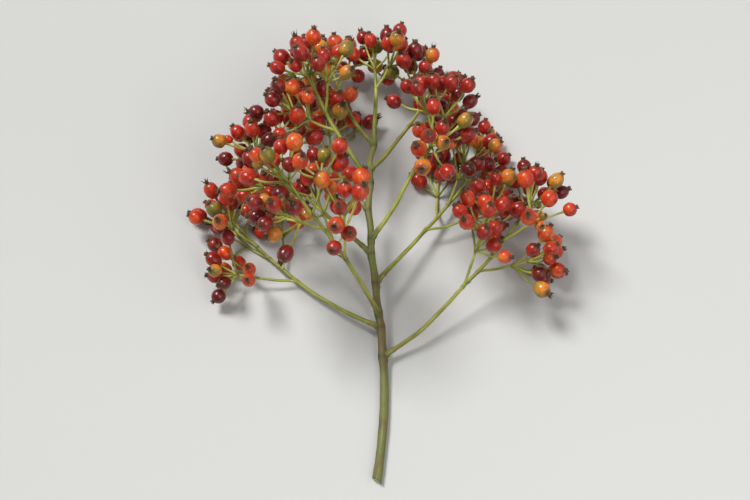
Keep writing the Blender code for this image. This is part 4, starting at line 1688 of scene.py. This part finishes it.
class Patterns:
    """The patterns that several finishes share, each a node group built once."""

    def __init__(self) -> None:
        """Builds the groups."""
        self.mottling = self.build_mottling()
        self.fibres = self.build_fibres()
        self.specks = self.build_specks()

    def start(
        self, name: str, inputs: dict[str, float | None], outputs: list[str]
    ) -> tuple[Wiring, Sockets, Sockets]:
        """Starts a node group.

        Args:
            name: Its name.
            inputs: Each input's value at first. A place has none.
            outputs: The names of its outputs, each a mask.

        Returns:
            Its wiring, the sockets that give its inputs, and the sockets that take its outputs.
        """
        tree = bpy.data.node_groups.new(name, "ShaderNodeTree")
        for label, value in inputs.items():
            kind = "NodeSocketVector" if value is None else "NodeSocketFloat"
            socket = tree.interface.new_socket(name=label, in_out="INPUT", socket_type=kind)
            if value is not None:
                socket.default_value = value
        for label in outputs:
            tree.interface.new_socket(name=label, in_out="OUTPUT", socket_type="NodeSocketFloat")
        given, result = tree.nodes.new("NodeGroupInput"), tree.nodes.new("NodeGroupOutput")
        return Wiring(tree), given.outputs, result.inputs

    def build_mottling(self) -> Tree:
        """Builds soft blotches: noise of a scale, stretched between two levels.

        Returns:
            The group.
        """
        sockets = {"Place": None, "Scale": 200.0, "Low": 0.35, "High": 0.65}
        wiring, given, result = self.start("mottling", sockets, ["Mask"])
        inputs = {"Vector": given["Place"], "Scale": given["Scale"], "Detail": 3.0, "Roughness": 0.55}
        noise = wiring.node("TexNoise", inputs).outputs[0]
        inputs = {"Value": noise, "From Min": given["Low"], "From Max": given["High"]}
        mask = wiring.node("MapRange", inputs, interpolation_type="SMOOTHSTEP")
        wiring.tree.links.new(mask.outputs["Result"], result["Mask"])
        return wiring.tree

    def build_fibres(self) -> Tree:
        """Builds fibres along a stalk: noise on its unrolled bark, drawn out lengthwise, coarse and fine.

        Returns:
            The group.
        """
        sockets = {"Grain": None, "Fineness": 2500.0, "Stretch": 0.06}
        wiring, given, result = self.start("fibres", sockets, ["Coarse", "Fine"])
        parts = wiring.node("SeparateXYZ", {0: given["Grain"]}).outputs
        length = wiring.maths("MULTIPLY", parts[2], given["Stretch"])
        drawn = wiring.node("CombineXYZ", {0: parts[0], 1: parts[1], 2: length}).outputs[0]
        for name, factor in (("Coarse", 0.4), ("Fine", 1.6)):
            scale = wiring.maths("MULTIPLY", given["Fineness"], factor)
            noise = wiring.node("TexNoise", {"Vector": drawn, "Scale": scale, "Detail": 2.0}).outputs[0]
            wiring.tree.links.new(wiring.spread(noise, 0.36, 0.64), result[name])
        return wiring.tree

    def build_specks(self) -> Tree:
        """Builds small round specks: the middles of a Voronoi pattern's cells, some left out.

        Returns:
            The group.
        """
        sockets = {"Place": None, "Scale": 1200.0, "Size": 0.25, "Share": 0.5}
        wiring, given, result = self.start("specks", sockets, ["Mask"])
        cells = wiring.node("TexVoronoi", {"Vector": given["Place"], "Scale": given["Scale"]}).outputs
        near = wiring.maths("DIVIDE", cells["Distance"], given["Size"])
        dot = wiring.spread(near, 1.0, 0.4)
        draw = wiring.node("SeparateColor", {0: cells["Color"]}).outputs[0]
        kept = wiring.maths("LESS_THAN", draw, given["Share"])
        wiring.tree.links.new(wiring.maths("MULTIPLY", dot, kept), result["Mask"])
        return wiring.tree


class Finish(Wiring):
    """A material in the making: its nodes and its Principled BSDF."""

    def __init__(self, name: str) -> None:
        """Makes the material.

        Args:
            name: Its name.
        """
        self.material = bpy.data.materials.new(name)
        self.material.use_nodes = True
        super().__init__(self.material.node_tree)
        self.shader = self.tree.nodes["Principled BSDF"]

    def join(self, colour: Socket, roughness: Socket, normal: Socket) -> None:
        """Joins the colour, roughness and normal to the shader."""
        for name, socket in (("Base Color", colour), ("Roughness", roughness), ("Normal", normal)):
            self.tree.links.new(socket, self.shader.inputs[name])

    def keep(self, name: str, value: float | Triple) -> None:
        """Sets one of the shader's own sockets to what is the same all over."""
        self.shader.inputs[name].default_value = value


@dataclass(frozen=True)
class HipSkin:
    """The glossy skin of the hips, from olive through orange and red to crimson."""

    stops: tuple[tuple[float, Colour], ...] = (
        (0.00, srgb(104, 112, 36)),
        (0.14, srgb(152, 122, 42)),
        (0.28, srgb(220, 142, 40)),
        (0.42, srgb(222, 88, 28)),
        (0.58, srgb(200, 50, 22)),
        (0.78, srgb(160, 28, 15)),
        (1.00, srgb(92, 14, 12)),
    )
    halo: Colour = srgb(84, 48, 22)
    halo_rise: Pair = (0.68, 0.86)
    halo_share: float = 0.66
    halo_roughness: float = 0.25
    foot_rise: float = 0.30
    foot_unripe: float = 0.10
    patchiness: float = 0.20
    sunniness: float = 0.16
    speck: Colour = srgb(92, 22, 14)
    mottled_share: float = 0.16
    specked_share: float = 0.30
    fold_relief: Pair = (0.55, 0.0009)
    speck_relief: Pair = (0.15, 0.0001)
    roughness: Pair = (0.26, 0.40)
    specular: float = 0.32
    coat: float = 0.42
    coat_roughness: float = 0.16
    glow: float = 0.06
    glow_reach: Triple = (0.0020, 0.0006, 0.0003)

    def material(self, patterns: Patterns) -> Material:
        """Builds the material.

        The mark ripeness is moved by soft mottling, by the side that had the sun and by the height on the
        hip, and read off the stops. The crown has a dark halo. Wilted hips have fine folds.

        Args:
            patterns: The shared patterns.

        Returns:
            The material.
        """
        look = Finish("hip_skin")
        place = look.place()
        soft = look.mask(patterns.mottling, place, Scale=190.0, Low=0.32, High=0.68)
        fine = look.mask(patterns.mottling, place, Scale=900.0, Low=0.30, High=0.70)
        specks = look.mask(patterns.specks, place, Scale=1500.0, Size=0.30, Share=0.35)
        rise = look.mark("rise")
        moved = look.maths("MULTIPLY_ADD", soft, self.patchiness, -self.patchiness / 2)
        sunny = look.maths("MULTIPLY_ADD", look.mark("blush"), self.sunniness, -self.sunniness / 2)
        ripe = look.maths("ADD", look.mark("ripeness"), look.maths("ADD", moved, sunny))
        ripe = look.maths("SUBTRACT", ripe, look.spread(rise, 0.0, self.foot_rise, (self.foot_unripe, 0.0)))
        colour = look.ramp(ripe, self.stops)
        colour = look.laid(colour, self.speck, fine, self.mottled_share)
        colour = look.laid(colour, self.speck, specks, self.specked_share)
        halo = look.maths("MULTIPLY", look.spread(rise, *self.halo_rise), self.halo_share)
        colour = look.blend(halo, colour, self.halo)
        roughness = look.spread(fine, 0, 1, self.roughness)
        roughness = look.maths("MULTIPLY_ADD", halo, self.halo_roughness, roughness)
        noise = look.node("TexNoise", {"Vector": place, "Scale": 620.0, "Detail": 2.0, "Distortion": 1.5})
        folds = look.maths("MULTIPLY", noise.outputs[0], look.mark("wilt"))
        normal = look.bump(folds, *self.fold_relief)
        look.join(colour, roughness, look.bump(specks, *self.speck_relief, Normal=normal))
        look.keep("Specular IOR Level", self.specular)
        look.keep("Coat Weight", self.coat)
        look.keep("Coat Roughness", self.coat_roughness)
        look.keep("Subsurface Weight", self.glow)
        look.keep("Subsurface Radius", self.glow_reach)
        return look.material


@dataclass(frozen=True)
class GreenStalk:
    """The fresh green of the stalks, browner with age and at forks, flushed red near ripe hips."""

    lit: Colour = srgb(206, 212, 106)
    deep: Colour = srgb(86, 106, 30)
    aged: Colour = srgb(90, 92, 36)
    joint: Colour = srgb(122, 96, 48)
    red: Colour = srgb(150, 72, 44)
    fibre_share: float = 0.45
    patch_share: float = 0.45
    ages: Pair = (0.10, 0.9)
    aged_share: float = 0.75
    flushed_share: float = 0.55
    worn_shares: Pair = (0.25, 0.7)
    relief: Pair = (0.35, 0.00008)
    roughness: Pair = (0.42, 0.62)
    specular: float = 0.30

    def material(self, patterns: Patterns) -> Material:
        """Builds the material: fibres between two greens, then age, flush and joints laid over them.

        Args:
            patterns: The shared patterns.

        Returns:
            The material.
        """
        look = Finish("green_stalk")
        grained = {"Grain": look.mark("grain", "Vector"), "Fineness": 2600.0, "Stretch": 0.07}
        fibres = look.group(patterns.fibres, grained)
        patches = look.mask(patterns.mottling, look.place(), Scale=60.0, Low=0.35, High=0.65)
        share = look.maths("MULTIPLY", patches, self.patch_share)
        share = look.maths("MULTIPLY_ADD", fibres["Coarse"], self.fibre_share, share)
        colour = look.blend(share, self.lit, self.deep)
        age = look.spread(look.mark("age"), *self.ages, (0.0, self.aged_share))
        colour = look.blend(age, colour, self.aged)
        colour = look.laid(colour, self.red, look.mark("flush"), self.flushed_share)
        worn = look.maths("MULTIPLY", look.mark("node"), look.spread(patches, 0, 1, self.worn_shares))
        colour = look.blend(worn, colour, self.joint)
        roughness = look.spread(fibres["Fine"], 0, 1, self.roughness)
        look.join(colour, roughness, look.bump(fibres["Fine"], *self.relief))
        look.keep("Specular IOR Level", self.specular)
        return look.material


@dataclass(frozen=True)
class StemBark:
    """The bark of the main stem: green going brown, with grey fibres and raised pale pores."""

    green: Colour = srgb(106, 120, 48)
    brown: Colour = srgb(98, 68, 40)
    dark: Colour = srgb(58, 42, 26)
    pale: Colour = srgb(164, 146, 104)
    fresh: Colour = srgb(142, 146, 70)
    coarse_share: float = 0.40
    fine_share: float = 0.16
    worn_share: float = 0.70
    pore_share: float = 0.75
    pore_length: float = 0.45
    fibre_relief: Pair = (0.5, 0.00020)
    pore_relief: Pair = (0.6, 0.00018)
    roughness: Pair = (0.50, 0.74)

    def material(self, patterns: Patterns) -> Material:
        """Builds the material: patches of green and brown, with fibres, scars and pores laid over them.

        Args:
            patterns: The shared patterns.

        Returns:
            The material.
        """
        look = Finish("stem_bark")
        grain_mark = look.mark("grain", "Vector")
        patches = look.mask(patterns.mottling, look.place(), Scale=55.0, Low=0.36, High=0.62)
        grained = {"Grain": grain_mark, "Fineness": 1500.0, "Stretch": 0.05}
        fibres = look.group(patterns.fibres, grained)
        stretch = {"Vector": grain_mark, "Scale": (1.0, 1.0, self.pore_length)}
        drawn = look.node("Mapping", stretch).outputs[0]
        pores = look.mask(patterns.specks, drawn, Scale=620.0, Size=0.20, Share=0.45)
        colour = look.blend(look.maths("MULTIPLY", patches, look.mark("age")), self.green, self.brown)
        colour = look.blend(look.mark("young"), colour, self.fresh)
        colour = look.laid(colour, self.dark, fibres["Coarse"], self.coarse_share)
        colour = look.laid(colour, self.pale, fibres["Fine"], self.fine_share)
        colour = look.laid(colour, self.dark, look.mark("node"), self.worn_share)
        colour = look.laid(colour, self.pale, pores, self.pore_share)
        roughness = look.spread(fibres["Coarse"], 0, 1, self.roughness)
        normal = look.bump(fibres["Coarse"], *self.fibre_relief)
        look.join(colour, roughness, look.bump(pores, *self.pore_relief, Normal=normal))
        return look.material


@dataclass(frozen=True)
class DryCalyx:
    """The dead brown of crowns and bracts, paler at their tips."""

    dark: Colour = srgb(48, 34, 21)
    brown: Colour = srgb(108, 78, 46)
    tip: Colour = srgb(150, 124, 86)
    dry_share: float = 0.55
    mottled_share: float = 0.4
    tip_rise: Pair = (0.55, 1.0)
    tip_share: float = 0.8
    relief: Pair = (0.6, 0.00012)
    roughness: Pair = (0.70, 0.92)

    def material(self, patterns: Patterns) -> Material:
        """Builds the material: dark to brown by mottling and by each crown's own draw, with pale tips.

        Args:
            patterns: The shared patterns.

        Returns:
            The material.
        """
        look = Finish("dry_calyx")
        fine = look.mask(patterns.mottling, look.place(), Scale=1500.0, Low=0.34, High=0.66)
        share = look.maths("MULTIPLY", fine, self.mottled_share)
        share = look.maths("MULTIPLY_ADD", look.mark("dry"), self.dry_share, share)
        colour = look.blend(share, self.dark, self.brown)
        tips = look.maths("MULTIPLY", look.spread(look.mark("rise"), *self.tip_rise), fine)
        colour = look.laid(colour, self.tip, tips, self.tip_share)
        look.join(colour, look.spread(fine, 0, 1, self.roughness), look.bump(fine, *self.relief))
        return look.material


@dataclass(frozen=True)
class CutWood:
    """Fresh cut wood: pale pith, greenish white wood with fine rays, and the green ring under the bark."""

    stops: tuple[tuple[float, Colour], ...] = (
        (0.00, srgb(206, 188, 140)),
        (0.20, srgb(214, 200, 158)),
        (0.27, srgb(158, 150, 92)),
        (0.36, srgb(204, 202, 150)),
        (0.80, srgb(196, 196, 138)),
        (0.93, srgb(122, 136, 62)),
        (1.00, srgb(92, 84, 44)),
    )
    ray: Colour = srgb(150, 140, 92)
    wander: float = 0.05
    pore_share: float = 0.5
    relief: Pair = (-0.4, 0.00006)
    roughness: Pair = (0.62, 0.8)

    def material(self, patterns: Patterns) -> Material:
        """Builds the material: the stops read from the middle out, with fine pores over them.

        Args:
            patterns: The shared patterns.

        Returns:
            The material.
        """
        look = Finish("cut_wood")
        place = look.mark("grain", "Vector")
        pores = look.mask(patterns.specks, place, Scale=26.0, Size=0.34, Share=0.7)
        cloud = look.mask(patterns.mottling, place, Scale=5.0, Low=0.3, High=0.7)
        moved = look.maths("MULTIPLY_ADD", cloud, self.wander, look.mark("share"))
        colour = look.laid(look.ramp(moved, self.stops), self.ray, pores, self.pore_share)
        look.join(colour, look.spread(pores, 0, 1, self.roughness), look.bump(pores, *self.relief))
        return look.material


@dataclass(frozen=True)
class Sky:
    """One far soft light, as from a big window: even over the whole surface, with soft shadows."""

    name: str
    towards: Triple
    strength: float
    spread: float


@dataclass(frozen=True)
class Strip:
    """One tall narrow softbox near by, which draws a streak of gloss on each hip."""

    name: str
    place: Triple
    size: Pair
    power: float


@dataclass(frozen=True)
class Studio:
    """The pale surface, the soft lights and the camera, which looks down on the lying sprig."""

    surface_size: float = 24.0
    surface_drop: float = 0.0002
    surface_colour: Colour = srgb(196, 196, 193)
    surface_shade: float = 0.97
    surface_roughness: float = 0.9
    surface_specular: float = 0.1
    backdrop: Colour = srgb(218, 218, 216)
    ambient: Colour = srgb(228, 230, 232)
    ambient_strength: float = 0.29
    target: Triple = (-0.002, -0.015, 0.042)
    camera_distance: float = 1.00
    camera_elevation: float = math.radians(64)
    camera_nearest: float = 0.01
    lens: float = 74.0
    skies: tuple[Sky, ...] = (
        Sky("key_light", (-0.42, 0.36, 0.83), 3.15, math.radians(20)),
        Sky("fill_light", (0.70, -0.15, 0.70), 0.6, math.radians(60)),
    )
    strips: tuple[Strip, ...] = (Strip("strip_light", (0.35, -0.55, 0.85), (0.14, 0.90), 2.4),)

    def add(self, settings: bpy.types.ID, place: Triple | Vector) -> Object:
        """Adds a light or the camera, aimed at the sprig.

        Args:
            settings: The light or camera.
            place: Where it is.

        Returns:
            Its object.
        """
        obj = bpy.data.objects.new(settings.name, settings)
        obj.location = place
        obj.rotation_euler = (Vector(self.target) - obj.location).to_track_quat("-Z", "Y").to_euler()
        bpy.context.scene.collection.objects.link(obj)
        return obj

    def make_surface(self) -> None:
        """Makes the pale surface that the sprig lies on."""
        look = Finish("pale_surface")
        noise = look.node("TexNoise", {"Vector": look.place(), "Scale": 3.0, "Detail": 2.0})
        shaded = (*(self.surface_shade * value for value in self.surface_colour[:3]), 1.0)
        colour = look.blend(noise.outputs[0], self.surface_colour, shaded)
        look.tree.links.new(colour, look.shader.inputs["Base Color"])
        look.keep("Roughness", self.surface_roughness)
        look.keep("Specular IOR Level", self.surface_specular)
        half = self.surface_size / 2
        corners = [(-half, -half), (half, -half), (half, half), (-half, half)]
        mesh = bpy.data.meshes.new("pale_surface")
        mesh.from_pydata([(x, y, -self.surface_drop) for x, y in corners], [], [(0, 1, 2, 3)])
        mesh.materials.append(look.material)
        surface = bpy.data.objects.new("pale_surface", mesh)
        bpy.context.scene.collection.objects.link(surface)

    def make_lights(self) -> None:
        """Makes the far soft lights and the strip."""
        for sky in self.skies:
            light = bpy.data.lights.new(sky.name, "SUN")
            light.energy, light.angle = sky.strength, sky.spread
            self.add(light, Vector(self.target) + Vector(sky.towards))
        for strip in self.strips:
            light = bpy.data.lights.new(strip.name, "AREA")
            light.energy, light.shape = strip.power, "RECTANGLE"
            light.size, light.size_y = strip.size
            self.add(light, strip.place)

    def make_surroundings(self) -> None:
        """Makes the even light from all round. Where the view reaches past the surface, it is as pale."""
        world = bpy.data.worlds.new("studio")
        world.use_nodes = True
        wiring = Wiring(world.node_tree)
        background = world.node_tree.nodes["Background"]
        background.inputs["Color"].default_value = self.ambient
        background.inputs["Strength"].default_value = self.ambient_strength
        seen = wiring.node("Background", {"Color": self.backdrop, "Strength": 1.0})
        direct = wiring.node("LightPath").outputs["Is Camera Ray"]
        mixed = wiring.node("MixShader", {0: direct, 1: background.outputs[0], 2: seen.outputs[0]})
        wiring.tree.links.new(mixed.outputs[0], world.node_tree.nodes["World Output"].inputs["Surface"])
        bpy.context.scene.world = world

    def make_camera(self) -> None:
        """Makes the camera, with the sprig's tip at the top of its view."""
        camera = bpy.data.cameras.new("camera")
        camera.lens, camera.clip_start = self.lens, self.camera_nearest
        away = Vector((0, -math.cos(self.camera_elevation), math.sin(self.camera_elevation)))
        bpy.context.scene.camera = self.add(camera, Vector(self.target) + away * self.camera_distance)

    def build(self) -> None:
        """Makes the whole studio."""
        self.make_surface()
        self.make_lights()
        self.make_surroundings()
        self.make_camera()
        bpy.context.scene.view_settings.view_transform = "Standard"


def place(shells: Shells, name: str, finish: Material, slot: str, *nodes: str) -> None:
    """Makes a piece, lets it ride with the sprig, hides the frame's nodes that it stands for, and logs it
    with its slot.

    Args:
        shells: The piece's shells.
        name: Its name.
        finish: Its material.
        slot: The record's material slot that the finish is for.
        nodes: The nodes of the frame that it stands for.
    """
    piece = shells.piece(name, finish)
    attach(piece, "root")
    if nodes:
        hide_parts(*nodes)
    faces = len(piece.data.polygons)
    LOG.info("%s: %d faces, slot %s, replaces %s", name, faces, slot, nodes or "nothing")


def main() -> None:
    logging.basicConfig(level=logging.INFO, format="%(name)s: %(message)s")
    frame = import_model()
    growth = grown_sprig(Habit())
    patterns = Patterns()
    bark, green = StemBark().material(patterns), GreenStalk().material(patterns)
    skin, dry = HipSkin().material(patterns), DryCalyx().material(patterns)
    wood = CutWood().material(patterns)
    stem = MainStem(growth)
    place(stem.bark(), "main_stem_bark", bark, "stem_bark", "main_stem")
    place(stem.cut_face(), "main_stem_cut_face", wood, "cut_wood")
    names = sorted(name for name in frame["nodes"] if name.startswith("spray_")) + ["tip_spray"]
    for number, name in enumerate(names, start=1):
        spray = Spray(growth, number)
        place(spray.make_stalks(), f"{name}_stalks", green, "green_stalk", name)
        place(spray.make_hips(), f"{name}_hips", skin, "hip_skin", name)
        place(spray.make_crowns(), f"{name}_crowns", dry, "dry_calyx")
        place(spray.make_bracts(), f"{name}_bracts", dry, "dry_calyx")
    Studio().build()


if __name__ == "__main__":
    main()
